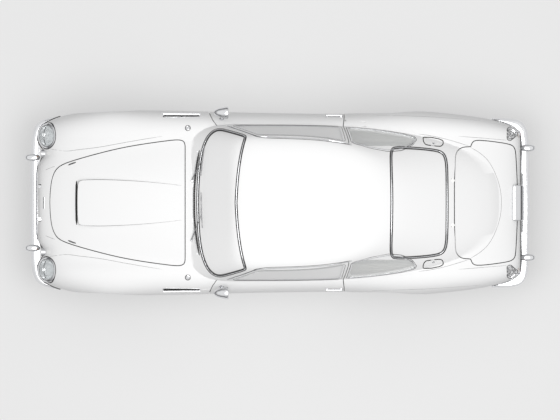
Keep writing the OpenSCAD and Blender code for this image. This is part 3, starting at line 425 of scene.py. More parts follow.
# ------------------------------------------------------------------ materials
def material(name, base=(0.5, 0.5, 0.5), vary=0.04, vscale=3.0, rough=0.5, rvar=0.0, rscale=20.0, metal=0.0, coat=0.0,
             coat_rough=0.03, alpha=1.0, sheen=0.0, ior=1.5, bump=(), tint=None, stretch=(1, 1, 1), edge=None, dust=0.0,
             spec=0.5, alt=None):
    """A procedural material. bump is a list of (kind, scale, strength, distance in mm)."""
    m = bpy.data.materials.new(name); m.use_nodes = True
    N, L = m.node_tree.nodes, m.node_tree.links
    P = N["Principled BSDF"]
    P.inputs["Metallic"].default_value = metal
    P.inputs["IOR"].default_value = ior
    P.inputs["Coat Weight"].default_value = coat
    P.inputs["Coat Roughness"].default_value = coat_rough
    P.inputs["Specular IOR Level"].default_value = spec
    P.inputs["Alpha"].default_value = alpha
    if sheen:
        P.inputs["Sheen Weight"].default_value = sheen
        P.inputs["Sheen Roughness"].default_value = 0.4
    tc = N.new("ShaderNodeTexCoord"); mp = N.new("ShaderNodeMapping")
    mp.inputs["Scale"].default_value = stretch
    L.new(tc.outputs["Object"], mp.inputs["Vector"])
    vec = mp.outputs["Vector"]
    def noise(scale, detail=4.0, roughness=0.55):
        n = N.new("ShaderNodeTexNoise"); n.inputs["Scale"].default_value = scale
        n.inputs["Detail"].default_value = detail; n.inputs["Roughness"].default_value = roughness
        L.new(vec, n.inputs["Vector"]); return n.outputs["Fac"]
    def ramp(fac, a, b, p0=0.3, p1=0.7):
        r = N.new("ShaderNodeValToRGB"); r.color_ramp.elements[0].position = p0; r.color_ramp.elements[1].position = p1
        r.color_ramp.elements[0].color = (*a, 1); r.color_ramp.elements[1].color = (*b, 1)
        L.new(fac, r.inputs["Fac"]); return r.outputs["Color"]
    def mix(fac, a, b):
        x = N.new("ShaderNodeMix"); x.data_type = "RGBA"
        L.new(fac, x.inputs["Factor"]) if not isinstance(fac, float) else setattr(x.inputs["Factor"], "default_value", fac)
        for k, v in ((6, a), (7, b)):
            if isinstance(v, tuple): x.inputs[k].default_value = (*v, 1)
            else: L.new(v, x.inputs[k])
        return x.outputs[2]
    lo = tuple(max(0, c*(1 - vary)) for c in base); hi = tuple(min(1, c*(1 + vary)) for c in base)
    col = ramp(noise(vscale), lo, hi)
    if alt:                                     # a second colour in blotches or grain: (colour, scale, from, to)
        col = mix(ramp(noise(alt[1], 6, 0.6), (0, 0, 0), (1, 1, 1), alt[2], alt[3]), col, alt[0])
    geo = N.new("ShaderNodeNewGeometry")
    if edge:                                    # worn convex edges
        r = N.new("ShaderNodeValToRGB"); r.color_ramp.elements[0].position = 0.515; r.color_ramp.elements[1].position = 0.56
        L.new(geo.outputs["Pointiness"], r.inputs["Fac"])
        col = mix(r.outputs["Color"], col, edge)
    if dust:                                    # a film of dust on what faces up
        s = N.new("ShaderNodeSeparateXYZ"); L.new(geo.outputs["Normal"], s.inputs["Vector"])
        mm = N.new("ShaderNodeMath"); mm.operation = "MULTIPLY"; mm.use_clamp = True
        L.new(s.outputs["Z"], mm.inputs[0]); L.new(noise(9.0, 6), mm.inputs[1])
        m2 = N.new("ShaderNodeMath"); m2.operation = "MULTIPLY"; m2.use_clamp = True; m2.inputs[1].default_value = dust
        L.new(mm.outputs[0], m2.inputs[0])
        col = mix(m2.outputs[0], col, (0.32, 0.29, 0.25))
    L.new(col, P.inputs["Base Color"])
    if rvar:
        r = N.new("ShaderNodeMapRange"); r.inputs["To Min"].default_value = max(0.0, rough - rvar); r.inputs["To Max"].default_value = min(1.0, rough + rvar)
        r.inputs["From Min"].default_value = 0.3; r.inputs["From Max"].default_value = 0.7
        L.new(noise(rscale, 5), r.inputs["Value"]); L.new(r.outputs["Result"], P.inputs["Roughness"])
    else:
        P.inputs["Roughness"].default_value = rough
    last = None
    for kind, scale, strength, dist in bump:
        if kind == "noise": h = noise(scale, 5, 0.6)
        elif kind == "cell":
            v = N.new("ShaderNodeTexVoronoi"); v.feature = "SMOOTH_F1"; v.inputs["Scale"].default_value = scale
            L.new(vec, v.inputs["Vector"]); h = v.outputs["Distance"]
        elif kind == "crack":
            v = N.new("ShaderNodeTexVoronoi"); v.feature = "DISTANCE_TO_EDGE"; v.inputs["Scale"].default_value = scale
            L.new(vec, v.inputs["Vector"])
            c = N.new("ShaderNodeMapRange"); c.inputs["From Max"].default_value = 0.12; L.new(v.outputs["Distance"], c.inputs["Value"]); h = c.outputs["Result"]
        else:                                   # weave: two crossing waves
            h = None
            for ax in ("X", "Y"):
                w = N.new("ShaderNodeTexWave"); w.bands_direction = ax; w.inputs["Scale"].default_value = scale
                w.inputs["Distortion"].default_value = 0.6; L.new(vec, w.inputs["Vector"])
                if h is None: h = w.outputs["Fac"]
                else:
                    a = N.new("ShaderNodeMath"); a.operation = "ADD"; L.new(h, a.inputs[0]); L.new(w.outputs["Fac"], a.inputs[1]); h = a.outputs[0]
        b = N.new("ShaderNodeBump"); b.inputs["Strength"].default_value = strength; b.inputs["Distance"].default_value = dist*0.001
        L.new(h, b.inputs["Height"])
        if last: L.new(last, b.inputs["Normal"])
        last = b.outputs["Normal"]
    if last: L.new(last, P.inputs["Normal"])
    m.diffuse_color = (*base, 1)
    return m

M = {}
M["paint"] = material("white_paint", (0.90, 0.90, 0.888), 0.012, 1.4, 0.34, 0.05, 60, coat=1.0, coat_rough=0.03, bump=[("noise", 900, 0.05, 0.05), ("noise", 90, 0.03, 0.2)])
M["lining"] = material("headlining_cloth", (0.72, 0.70, 0.65), 0.05, 5, 0.85, 0.08, 60, sheen=0.3, bump=[("weave", 500, 0.3, 0.3), ("noise", 40, 0.1, 0.6)])
M["inner_paint"] = material("inner_paint", (0.70, 0.70, 0.68), 0.05, 4, 0.5, 0.1, 30, coat=0.3, dust=0.25, bump=[("noise", 300, 0.12, 0.2)])
M["chrome"] = material("chrome", (0.78, 0.785, 0.80), 0.03, 8, 0.09, 0.05, 35, metal=1.0, bump=[("noise", 260, 0.02, 0.05)])
M["polished"] = material("polished_alloy", (0.66, 0.665, 0.68), 0.05, 14, 0.22, 0.08, 80, metal=1.0, stretch=(1, 6, 1), bump=[("noise", 500, 0.06, 0.05)])
M["steel"] = material("brushed_steel", (0.42, 0.42, 0.43), 0.12, 30, 0.38, 0.12, 90, metal=1.0, stretch=(1, 9, 9), bump=[("noise", 400, 0.15, 0.08)])
M["exhaust"] = material("heat_stained_steel", (0.36, 0.34, 0.32), 0.15, 12, 0.45, 0.15, 40, metal=0.9, alt=((0.20, 0.13, 0.09), 7, 0.48, 0.7), bump=[("noise", 220, 0.3, 0.3)])
M["dark_metal"] = material("black_chassis_paint", (0.055, 0.056, 0.06), 0.2, 10, 0.5, 0.12, 50, coat=0.2, edge=(0.22, 0.21, 0.2), dust=0.35, bump=[("noise", 350, 0.3, 0.25)])
M["engine"] = material("cast_alloy", (0.40, 0.41, 0.42), 0.12, 25, 0.5, 0.12, 120, metal=0.8, dust=0.3, edge=(0.6, 0.6, 0.62), bump=[("noise", 700, 0.5, 0.3), ("cell", 260, 0.2, 0.3)])
# the window glass carries a pale, part-opaque white layer: painted reflection, it makes the windows read bright as a
# sky reflection would
M["glass"] = material("window_glass", (0.95, 0.965, 0.96), 0.02, 2, 0.03, 0.02, 6, alpha=0.40, coat=0.5, ior=1.45, bump=[("noise", 2.5, 0.015, 0.5)])
M["lamp_glass"] = material("lamp_glass", (0.90, 0.94, 0.95), 0.02, 20, 0.05, 0.03, 40, alpha=0.34, coat=0.6, ior=1.45, bump=[("noise", 200, 0.03, 0.1)])
M["reflector"] = material("silvered_reflector", (0.86, 0.87, 0.88), 0.03, 20, 0.12, 0.05, 60, metal=1.0, bump=[("noise", 150, 0.04, 0.1)])
M["amber"] = material("amber_lens", (0.86, 0.34, 0.03), 0.08, 60, 0.12, 0.04, 60, coat=1.0, bump=[("cell", 420, 0.25, 0.4)])
M["red"] = material("red_lens", (0.52, 0.015, 0.012), 0.1, 60, 0.12, 0.04, 60, coat=1.0, bump=[("cell", 420, 0.25, 0.4)])
M["clear_lens"] = material("clear_lens", (0.82, 0.83, 0.83), 0.05, 60, 0.12, 0.04, 60, coat=1.0, bump=[("cell", 420, 0.25, 0.4)])
M["hide"] = material("pale_hide", (0.77, 0.745, 0.69), 0.05, 7, 0.46, 0.08, 30, sheen=0.08, alt=((0.66, 0.62, 0.55), 22, 0.55, 0.85), bump=[("crack", 520, 0.35, 0.25), ("noise", 60, 0.12, 0.5)])
M["dash_hide"] = material("dash_hide", (0.70, 0.68, 0.63), 0.05, 7, 0.5, 0.08, 30, alt=((0.58, 0.55, 0.49), 20, 0.6, 0.9), bump=[("crack", 480, 0.35, 0.25), ("noise", 60, 0.12, 0.5)])
M["piping"] = material("piping_hide", (0.55, 0.52, 0.46), 0.06, 30, 0.45, 0.08, 60, bump=[("crack", 700, 0.3, 0.15)])
M["stitch"] = material("waxed_thread", (0.62, 0.59, 0.52), 0.1, 200, 0.6, 0.1, 200, bump=[("noise", 1500, 0.4, 0.1)])
M["carpet"] = material("cut_pile_carpet", (0.50, 0.475, 0.43), 0.18, 160, 0.95, 0.04, 90, sheen=0.4, alt=((0.37, 0.345, 0.30), 260, 0.45, 0.7), bump=[("noise", 700, 0.9, 1.5), ("noise", 1400, 0.6, 0.8)])
M["wood"] = material("varnished_wood", (0.30, 0.135, 0.05), 0.25, 18, 0.25, 0.06, 60, coat=1.0, coat_rough=0.04, alt=((0.13, 0.05, 0.02), 40, 0.45, 0.75), stretch=(1, 1, 6), bump=[("noise", 260, 0.06, 0.1)])
M["black"] = material("black_crackle", (0.03, 0.03, 0.032), 0.2, 60, 0.5, 0.1, 80, bump=[("cell", 600, 0.4, 0.2)])
M["dial"] = material("dial_face", (0.02, 0.02, 0.022), 0.1, 30, 0.4, 0.05, 90, bump=[("noise", 900, 0.1, 0.05)])
M["ivory"] = material("dial_marks", (0.80, 0.78, 0.70), 0.03, 80, 0.5, 0.05, 80, bump=[("noise", 900, 0.05, 0.02)])
M["seal"] = material("rubber_seal", (0.012, 0.012, 0.013), 0.2, 40, 0.75, 0.08, 90, dust=0.05, bump=[("noise", 500, 0.3, 0.2)])
M["tyre"] = material("tyre_rubber", (0.022, 0.022, 0.023), 0.25, 14, 0.72, 0.1, 60, dust=0.3, alt=((0.06, 0.056, 0.05), 9, 0.5, 0.75), bump=[("noise", 420, 0.35, 0.3)])
M["underseal"] = material("underseal", (0.05, 0.05, 0.052), 0.25, 12, 0.8, 0.1, 60, dust=0.4, alt=((0.10, 0.09, 0.08), 6, 0.5, 0.75), bump=[("cell", 220, 0.6, 0.8), ("noise", 500, 0.4, 0.4)])
# grey for strips along the body's creases and the scoop's edges, where it is painted crease shade; also the grey inlay
# of the nose badge
M["line"] = material("grey_line_crease_shade_and_badge_inlay", (0.30, 0.30, 0.30), 0.08, 60, 0.4, 0.05, 90, coat=0.6, bump=[("noise", 600, 0.04, 0.04)])
M["floor"] = material("studio_floor", (0.30, 0.30, 0.30), 0.006, 0.6, 0.85, 0.04, 3, spec=0.1, bump=[("noise", 60, 0.04, 0.3)])
M["floor"].node_tree.nodes["Principled BSDF"].inputs["Emission Color"].default_value = (1, 1, 1, 1)
M["floor"].node_tree.nodes["Principled BSDF"].inputs["Emission Strength"].default_value = 0.495

# ------------------------------------------------------------------ shapes
def shade(o, angle=32):
    me = o.data
    for p in me.polygons: p.use_smooth = True
    bm = bmesh.new(); bm.from_mesh(me)
    for e in bm.edges:
        e.smooth = not (len(e.link_faces) == 2 and e.calc_face_angle(0) > rad(angle))
    bm.to_mesh(me); bm.free()
    return o

def put(o, name, body="car", mats=("chrome",), slot=None, replaces=(), sm=None):
    o.name = name; o.data.name = name
    if sm is not None: shade(o, sm)
    for m in ((mats,) if isinstance(mats, str) else mats): o.data.materials.append(M[m])
    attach(o, body)
    if replaces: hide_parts(*replaces)
    return o

def merge(name, objs):
    """Several meshes as one, with their materials kept by slot order."""
    V, F, mi, sm = [], [], [], []
    mats = []
    for o in objs:
        b = len(V); mw = o.matrix_world
        V += [tuple(mw @ v.co) for v in o.data.vertices]
        idx = []
        for m in (list(o.data.materials) or [None]):
            if m not in mats: mats.append(m)
            idx.append(mats.index(m))
        for p in o.data.polygons:
            F.append(tuple(b + v for v in p.vertices)); mi.append(idx[min(p.material_index, len(idx) - 1)])
    for o in objs: delete(o)
    o = new_obj(name, V, F, mm=False)
    for m in mats:
        if m is not None: o.data.materials.append(m)
    o.data.polygons.foreach_set("material_index", mi)
    return o

def coloured(o, m):
    o.data.materials.append(M[m]); return o

def lathe(name, prof, n=64, mat=None, closed=False):
    """Turned about z: prof is [(r, z)] in mm. A closed profile gives a ring; an open one is capped on the axis."""
    V, F = [], []
    k = len(prof)
    for i in range(n):
        t = 2*math.pi*i/n
        V += [(r*math.cos(t), r*math.sin(t), z) for r, z in prof]
    for i in range(n):
        a, b = i*k, ((i + 1) % n)*k
        for j in range(k if closed else k - 1):
            j2 = (j + 1) % k
            F.append((a + j, b + j, b + j2, a + j2))
    if not closed:
        for j in (0, k - 1):
            if prof[j][0] > 1e-6:
                V.append((0, 0, prof[j][1])); c = len(V) - 1
                for i in range(n):
                    a, b = i*k + j, ((i + 1) % n)*k + j
                    F.append((c, b, a) if j == 0 else (c, a, b))
    o = new_obj(name, V, F)
    bm = bmesh.new(); bm.from_mesh(o.data)
    bmesh.ops.remove_doubles(bm, verts=bm.verts, dist=1e-6)
    bmesh.ops.dissolve_degenerate(bm, dist=1e-7, edges=bm.edges)
    bmesh.ops.recalc_face_normals(bm, faces=bm.faces)
    bm.to_mesh(o.data); bm.free()
    if mat is not None: o.data.transform(mat)
    return o

def frames(P, up=(0, 0, 1), closed=False):
    P = np.asarray(P, float)
    T = np.roll(P, -1, 0) - np.roll(P, 1, 0)
    if not closed: T[0], T[-1] = P[1] - P[0], P[-1] - P[-2]
    T /= np.linalg.norm(T, axis=1)[:, None]
    up = np.asarray(up, float); U = np.broadcast_to(up, P.shape) if up.ndim == 1 else up
    A = np.cross(U, T); A /= np.maximum(1e-9, np.linalg.norm(A, axis=1))[:, None]
    B = np.cross(T, A)
    return P, T, A, B

def sweep(name, path, section, up=(0, 0, 1), closed=False, scale=None, caps=True):
    """section is [(a, b)] in mm across the path: a to its left (up x tangent), b up."""
    P, T, A, B = frames(path, up, closed)
    n, m = len(P), len(section)
    V, F = [], []
    for i in range(n):
        k = (1, 1) if scale is None else scale[i]
        for a, b in section: V.append(tuple(P[i] + A[i]*a*k[0] + B[i]*b*k[1]))
    for i in range(n if closed else n - 1):
        i2 = (i + 1) % n
        for j in range(m):
            j2 = (j + 1) % m
            F.append((i*m + j, i*m + j2, i2*m + j2, i2*m + j))
    if caps and not closed:
        F.append(tuple(range(m))); F.append(tuple((n - 1)*m + j for j in range(m))[::-1])
    o = new_obj(name, V, F); fix_normals(o)
    return o

def circle_pts(r, n=12, r2=None):
    return [(r*math.cos(2*math.pi*i/n), (r2 or r)*math.sin(2*math.pi*i/n)) for i in range(n)]

def tube(name, path, r, n=12, closed=False, up=(0, 0, 1), scale=None):
    return sweep(name, path, circle_pts(r, n), up, closed, scale)

def spline(P, k=8, closed=False):
    """A smooth line through the points (Catmull-Rom)."""
    P = np.asarray(P, float); n = len(P)
    out = []
    for i in range(n if closed else n - 1):
        p0, p1, p2, p3 = (P[(i - 1) % n], P[i], P[(i + 1) % n], P[(i + 2) % n]) if closed else (P[max(0, i - 1)], P[i], P[i + 1], P[min(n - 1, i + 2)])
        for j in range(k):
            t = j/k
            out.append(0.5*((2*p1) + (-p0 + p2)*t + (2*p0 - 5*p1 + 4*p2 - p3)*t*t + (-p0 + 3*p1 - 3*p2 + p3)*t**3))
    if not closed: out.append(P[-1])
    return np.array(out)

def rbox(name, x0, x1, y0, y1, z0, z1, r=6, seg=3):
    """A box with rounded edges."""
    o = box_obj(name, x0, x1, y0, y1, z0, z1)
    bm = bmesh.new(); bm.from_mesh(o.data)
    bmesh.ops.bevel(bm, geom=list(bm.edges), offset=r*0.001, segments=seg, profile=0.5, affect="EDGES", clamp_overlap=True)
    bmesh.ops.recalc_face_normals(bm, faces=bm.faces)
    bm.to_mesh(o.data); bm.free()
    return o

def loft(name, sections, closed_ends=True):
    """Rings of equal length in mm, capped by polygons."""
    n, m = len(sections), len(sections[0])
    V = [tuple(p) for s in sections for p in s]
    F = [(i*m + j, i*m + (j + 1) % m, (i + 1)*m + (j + 1) % m, (i + 1)*m + j) for i in range(n - 1) for j in range(m)]
    if closed_ends: F += [tuple(range(m))[::-1], tuple((n - 1)*m + j for j in range(m))]
    o = new_obj(name, V, F); fix_normals(o); return o

def moved(o, M4):
    o.data.transform(M4)
    if M4.determinant() < 0: o.data.flip_normals()
    return o

MIRROR = Matrix.Scale(-1, 4, (0, 1, 0))
def mirrored(o, name):
    c = copy(o, name); return moved(c, MIRROR)

# the finished skin, for laying trim, lines and wipers on it
SKIN = outer_pair(); SKIN.name = "skin_guide"
def tree_of(o):
    bm = bmesh.new(); bm.from_mesh(o.data); bmesh.ops.triangulate(bm, faces=bm.faces); t = BVHTree.FromBMesh(bm); bm.free(); return t
SKIN_TREE = tree_of(SKIN)
def on_top(x, y, tree=None):
    """(point in mm, normal) of the skin straight below or above x, y."""
    h = (tree or SKIN_TREE).ray_cast(Vector((x/1000, y/1000, 3)), Vector((0, 0, -1)))
    if h[0] is None: return None
    n = h[1] if h[1].z > 0 else -h[1]
    return np.array(h[0])*1000, np.array(n)
def on_side(x, z, side, tree=None):
    h = (tree or SKIN_TREE).ray_cast(Vector((x/1000, 3*side, z/1000)), Vector((0, -side, 0)))
    if h[0] is None: return None
    n = h[1] if h[1].y*side > 0 else -h[1]
    return np.array(h[0])*1000, np.array(n)

def drape(points, lift=0.0, k=8, smooth=2, tree=None, dense=None):
    """Plan points splined and laid on the skin: (path, normals)."""
    Q = spline([(p[0], p[1], 0) for p in points], k) if len(points) > 2 else np.linspace((*points[0], 0), (*points[-1], 0), dense or 12)
    H, Nn = [], []
    for q in Q:
        h = on_top(q[0], q[1], tree)
        if h is None: continue
        H.append(h[0]); Nn.append(h[1])
    H, Nn = np.array(H), np.array(Nn)
    for _ in range(smooth):
        Nn[1:-1] = (Nn[:-2] + 2*Nn[1:-1] + Nn[2:]); Nn /= np.linalg.norm(Nn, axis=1)[:, None]
        H[1:-1, 2] = (H[:-2, 2] + 2*H[1:-1, 2] + H[2:, 2])/4
    return H + Nn*lift, Nn

def strip(name, points, w=3.0, h=0.6, sink=0.6, tree=None, k=8, taper=True, side=None):
    """A thin raised line that lies on the skin, w wide and h proud, in mm."""
    if side is None: P, U = drape(points, 0, k, 2, tree)
    else:
        Q = spline([(p[0], 0, p[1]) for p in points], k); P, U = [], []
        for q in Q:
            t = on_side(q[0], q[2], side, tree)
            if t is not None: P.append(t[0]); U.append(t[1])
        P, U = np.array(P), np.array(U)
    n = len(P)
    sc = [(1, 1)]*n
    if taper: sc = [(min(1, 0.25 + 0.75*min(i, n - 1 - i)/4), 1) for i in range(n)]
    return sweep(name, P, [(-w/2, -sink), (-w/2, 0), (-w/4, h*0.85), (0, h), (w/4, h*0.85), (w/2, 0), (w/2, -sink)], U, scale=sc)

# ------------------------------------------------------------------ painted panels
def split_materials(o, test):
    """Give the faces for which test(centre in mm, normal) holds the piece's second material."""
    for p in o.data.polygons:
        if test(np.array(p.center)*1000, p.normal): p.material_index = 1

def low_inside(o_mm, tree): return tree

shell = build_shell()
smooth_on_skin(shell)
def is_lining(c, n):
    x, y, z = c
    if not (-1490 < x < 760): return False
    h = SKIN_TREE.find_nearest(Vector(c)/1000, 0.03)
    return (h[0] is None or h[3] > 0.006) and z > 640 and abs(y) < 700
split_materials(shell, is_lining)
put(shell, "Body_Shell", "car", ("paint", "lining"), "white_paint", ["body_shell"])

def panel(cut, inner_d, extra=None):
    o = outer_pair()
    boolean(o, inner_pair(inner_d, 0 if inner_d > 12 else 0, KT, K, 3, 3), "DIFFERENCE")
    boolean(o, cut, "INTERSECT")
    return o

# bonnet with its scoop
bon = panel(bonnet_cut(0), 16)
scoop_skin = low_solid("sc", 0, KS, KV, 0, True, 12, 20); fix_normals(scoop_skin)
SC_FIELD = smooth_field(scoop_skin)
def scoop_prism(g=0, dx=0):
    P = grow(curve_both(SCOOP), g); P[:, 0] += dx
    return prism("c", [P, P], [600, 1000])
def curve_both(P): return round_both(P, 6)
sc = boolean(copy(scoop_skin, "sc2"), scoop_prism(), "INTERSECT")
l6 = low_solid("l6", 6, 3, 3); fix_normals(l6); boolean(sc, l6, "DIFFERENCE")
cav = low_solid("cv", 5, KS, KV, 0, True, 12, 20); fix_normals(cav); boolean(cav, scoop_prism(-6, 14), "INTERSECT")
boolean(cav, box_obj("c", 1500, 1900, -300, 300, 600, 1000), "INTERSECT")
boolean(sc, cav, "DIFFERENCE")
boolean(bon, sc, "UNION")
def hinge_arm_bonnet(s):
    P = []
    for a in np.linspace(146, 236, 31): P.append((116*math.cos(rad(a)), 116*math.sin(rad(a))))
    for a in np.linspace(236, 146, 31): P.append((101*math.cos(rad(a)), 101*math.sin(rad(a))))
    P = np.array(P) + [2112, 676]
    y0, y1 = sorted((142*s, 158*s))
    o = prism("c", [P, P], [y0, y1], "y")
    d = np.array([math.cos(rad(236)), math.sin(rad(236))]); q = np.array([-d[1], d[0]])
    Q = np.array([2112, 676]) + np.array([-q*8, d*112 - q*8, d*112 + q*8, q*8])
    boolean(o, prism("c", [Q, Q], [y0, y1], "y"), "UNION")
    boolean(o, cyl_obj("c", (2112, 0, 676), (0, 1, 0), 9, y0, y1, 32), "UNION")
    boolean(o, cyl_obj("c", (2112, 0, 676), (0, 1, 0), 5.2, y0 - 2, y1 + 2, 24), "DIFFERENCE")
    return o
for s in (1, -1): boolean(bon, hinge_arm_bonnet(s), "UNION")
FIELDS_B = FIELDS + [SC_FIELD]
smooth_on_skin(bon, FIELDS_B)
split_materials(bon, lambda c, n: n.z < -0.2)
put(bon, "Bonnet", "bonnet", ("paint", "inner_paint"), "white_paint", ["bonnet"])

# boot lid
lid = panel(boot_cut(0), 16)
for s in (1, -1):
    y0, y1 = sorted((192*s, 208*s))
    A = [[-1630, 968], [-1610, 940], [-1518, 958], [-1503, 1004], [-1507, 1013], [-1517, 1014], [-1522, 1004], [-1530, 976], [-1596, 962], [-1600, 984]]
    arm = prism("c", [A, A], [y0, y1], "y"); boolean(arm, cyl_obj("c", (-1512, 0, 1006), (0, 1, 0), 5.2, y0 - 2, y1 + 2, 24), "DIFFERENCE")
    boolean(lid, arm, "UNION")
smooth_on_skin(lid)
split_materials(lid, lambda c, n: n.z < -0.2)
put(lid, "Boot_Lid", "boot_lid", ("paint", "inner_paint"), "white_paint", ["boot_lid"])

# doors
def build_door(s):
    o = outer_pair()
    ci = cab_solid("ci", 26, KT, K); fix_normals(ci)
    boolean(o, ci, "DIFFERENCE")
    boolean(o, door_cut(0, s), "INTERSECT")
    y0, y1 = sorted((500*s, 900*s)); boolean(o, box_obj("c", -900, 900, y0, y1, 200, 1300), "INTERSECT")
    y0, y1 = sorted((400*s, 668*s)); boolean(o, box_obj("c", -900, 900, y0, y1, 200, 915), "DIFFERENCE")
    boolean(o, side_cut(WINDOW_S, s, 500, 760), "DIFFERENCE")
    boolean(o, cyl_obj("c", (-546, 0, 788), (0, s, 0), 17, 764, 860, 48), "DIFFERENCE")
    return o
for s, nm in ((1, "left"), (-1, "right")):
    d = build_door(s); smooth_on_skin(d)
    split_materials(d, lambda c, n: abs(c[1]) < 672 and n.y*s < -0.5 and c[2] < 930)
    put(d, nm.capitalize() + "_Door", nm + "_door", ("paint", "inner_paint"), "white_paint", [nm + "_door"])

# fuel flaps
def flap_matrix(s):
    m = Matrix.Translation((-1.3652, 0.4933, 0.9548)) @ Matrix.Rotation(rad(6.9), 4, "Z") @ Matrix.Rotation(rad(-13.1), 4, "Y") @ Matrix.Rotation(rad(-45), 4, "X")
    return (MIRROR @ m) if s < 0 else m
def build_flap(s):
    o = outer_pair(); boolean(o, inner_pair(5, 0, KT, K, 3, 3), "DIFFERENCE")
    F = FLAP_S*[1, s]; boolean(o, prism("c", [F, F], [820, 1100]), "INTERSECT")
    smooth_on_skin(o)
    o.data.materials.append(M["paint"])
    B = [cyl_obj("c", (0, 0, 0), (1, 0, 0), 4, -15, 15, 24), box_obj("c", -15, 15, -8, 0, -9, -2.5), box_obj("c", -15, 15, -8, -3, -26, -6),
         box_obj("c", -15, 15, -8, 26, -26, -21), box_obj("c", -15, 15, 21, 26, -26, 4)]
    arm = B[0]
    for b in B[1:]: boolean(arm, b, "UNION")
    shade(moved(arm, flap_matrix(s)), 30)
    arm.data.materials.append(M["steel"])
    # the blank release button at the outboard edge and a finger lip
    p = on_top(-1370, 530*s)
    q = Vector(p[1]).to_track_quat("Z", "Y").to_matrix().to_4x4()
    btn = lathe("c", [(0, -3), (11.5, -3), (12.5, -1), (12.5, 0.8), (11, 1.9), (9.6, 1.6), (9, 1.0), (5, 1.4), (0, 1.6)], 48)
    moved(btn, Matrix.Translation(Vector(p[0])/1000) @ q); shade(btn, 30); btn.data.materials.append(M["chrome"])
    return o, arm, btn
for s, nm in ((1, "left"), (-1, "right")):
    o, arm, btn = build_flap(s)
    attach(o, nm + "_fuel_flap"); o.name = o.data.name = nm.capitalize() + "_Fuel_Flap"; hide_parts(nm + "_fuel_flap")
    for x, t in ((arm, "Hinge_Arm"), (btn, "Release_Button")):
        x.name = x.data.name = nm.capitalize() + "_Fuel_" + t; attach(x, nm + "_fuel_flap")

# black seals under the edges of the bonnet and boot lids
def seal(cut, a, b, d0=18, d1=21, limit=None, name="Seal"):
    o = inner_pair(d0, 0, 2, 96, 2, 2); i = inner_pair(d1, 0, 2, 96, 2, 2)
    boolean(o, i, "DIFFERENCE")
    boolean(o, cut(a), "INTERSECT"); boolean(o, cut(b), "DIFFERENCE")
    if limit: boolean(o, limit, "INTERSECT")
    return o
put(seal(bonnet_cut, 17, -9), "Bonnet_Seal", "car", "seal", "dark_metal", sm=40)
put(seal(boot_cut, 17, -9), "Boot_Seal", "car", "seal", "dark_metal", sm=40)

def floor_mix():
    """Carpet inside the cabin and boot, underseal below and in the engine bay, chosen by place."""
    m = M["carpet"].copy(); m.name = "floor_finish"
    N, L = m.node_tree.nodes, m.node_tree.links
    P = N["Principled BSDF"]; out = N["Material Output"]
    U = M["underseal"].node_tree
    P2 = N.new("ShaderNodeBsdfPrincipled"); P2.inputs["Roughness"].default_value = 0.8
    tc = [n for n in N if n.type == "TEX_COORD"][0]
    nz = N.new("ShaderNodeTexNoise"); nz.inputs["Scale"].default_value = 14; nz.inputs["Detail"].default_value = 6; L.new(tc.outputs["Object"], nz.inputs["Vector"])
    rr = N.new("ShaderNodeValToRGB"); rr.color_ramp.elements[0].color = (0.03, 0.03, 0.032, 1); rr.color_ramp.elements[1].color = (0.09, 0.083, 0.075, 1)
    L.new(nz.outputs["Fac"], rr.inputs["Fac"]); L.new(rr.outputs["Color"], P2.inputs["Base Color"])
    vo = N.new("ShaderNodeTexVoronoi"); vo.inputs["Scale"].default_value = 220; L.new(tc.outputs["Object"], vo.inputs["Vector"])
    bp = N.new("ShaderNodeBump"); bp.inputs["Strength"].default_value = 0.6; bp.inputs["Distance"].default_value = 0.0008
    L.new(vo.outputs["Distance"], bp.inputs["Height"]); L.new(bp.outputs["Normal"], P2.inputs["Normal"])
    geo = N.new("ShaderNodeNewGeometry"); s1 = N.new("ShaderNodeSeparateXYZ"); s2 = N.new("ShaderNodeSeparateXYZ")
    L.new(geo.outputs["Normal"], s1.inputs["Vector"]); L.new(tc.outputs["Object"], s2.inputs["Vector"])
    def math_node(op, a, b):
        q = N.new("ShaderNodeMath"); q.operation = op
        for i, v in enumerate((a, b)):
            if isinstance(v, (int, float)): q.inputs[i].default_value = v
            else: L.new(v, q.inputs[i])
        return q.outputs[0]
    up = math_node("GREATER_THAN", s1.outputs["Z"], -0.5)
    behind = math_node("LESS_THAN", s2.outputs["X"], 0.8725)
    high = math_node("GREATER_THAN", s2.outputs["Z"], 0.2335)
    inside = math_node("MULTIPLY", math_node("MULTIPLY", up, behind), high)
    ms = N.new("ShaderNodeMixShader"); L.new(inside, ms.inputs["Fac"]); L.new(P2.outputs["BSDF"], ms.inputs[1]); L.new(P.outputs["BSDF"], ms.inputs[2])
    L.new(ms.outputs["Shader"], out.inputs["Surface"])
    return m
M["floor_mix"] = floor_mix()
M["wheel"] = material("wheel_chrome", (0.62, 0.625, 0.64), 0.06, 10, 0.16, 0.06, 40, metal=1.0, dust=0.18, bump=[("noise", 260, 0.03, 0.06)])
M["rim_wood"] = material("laminated_wood_rim", (0.27, 0.12, 0.045), 0.25, 16, 0.22, 0.06, 60, coat=1.0, coat_rough=0.03, alt=((0.13, 0.05, 0.02), 60, 0.45, 0.7), bump=[("noise", 300, 0.1, 0.1)])

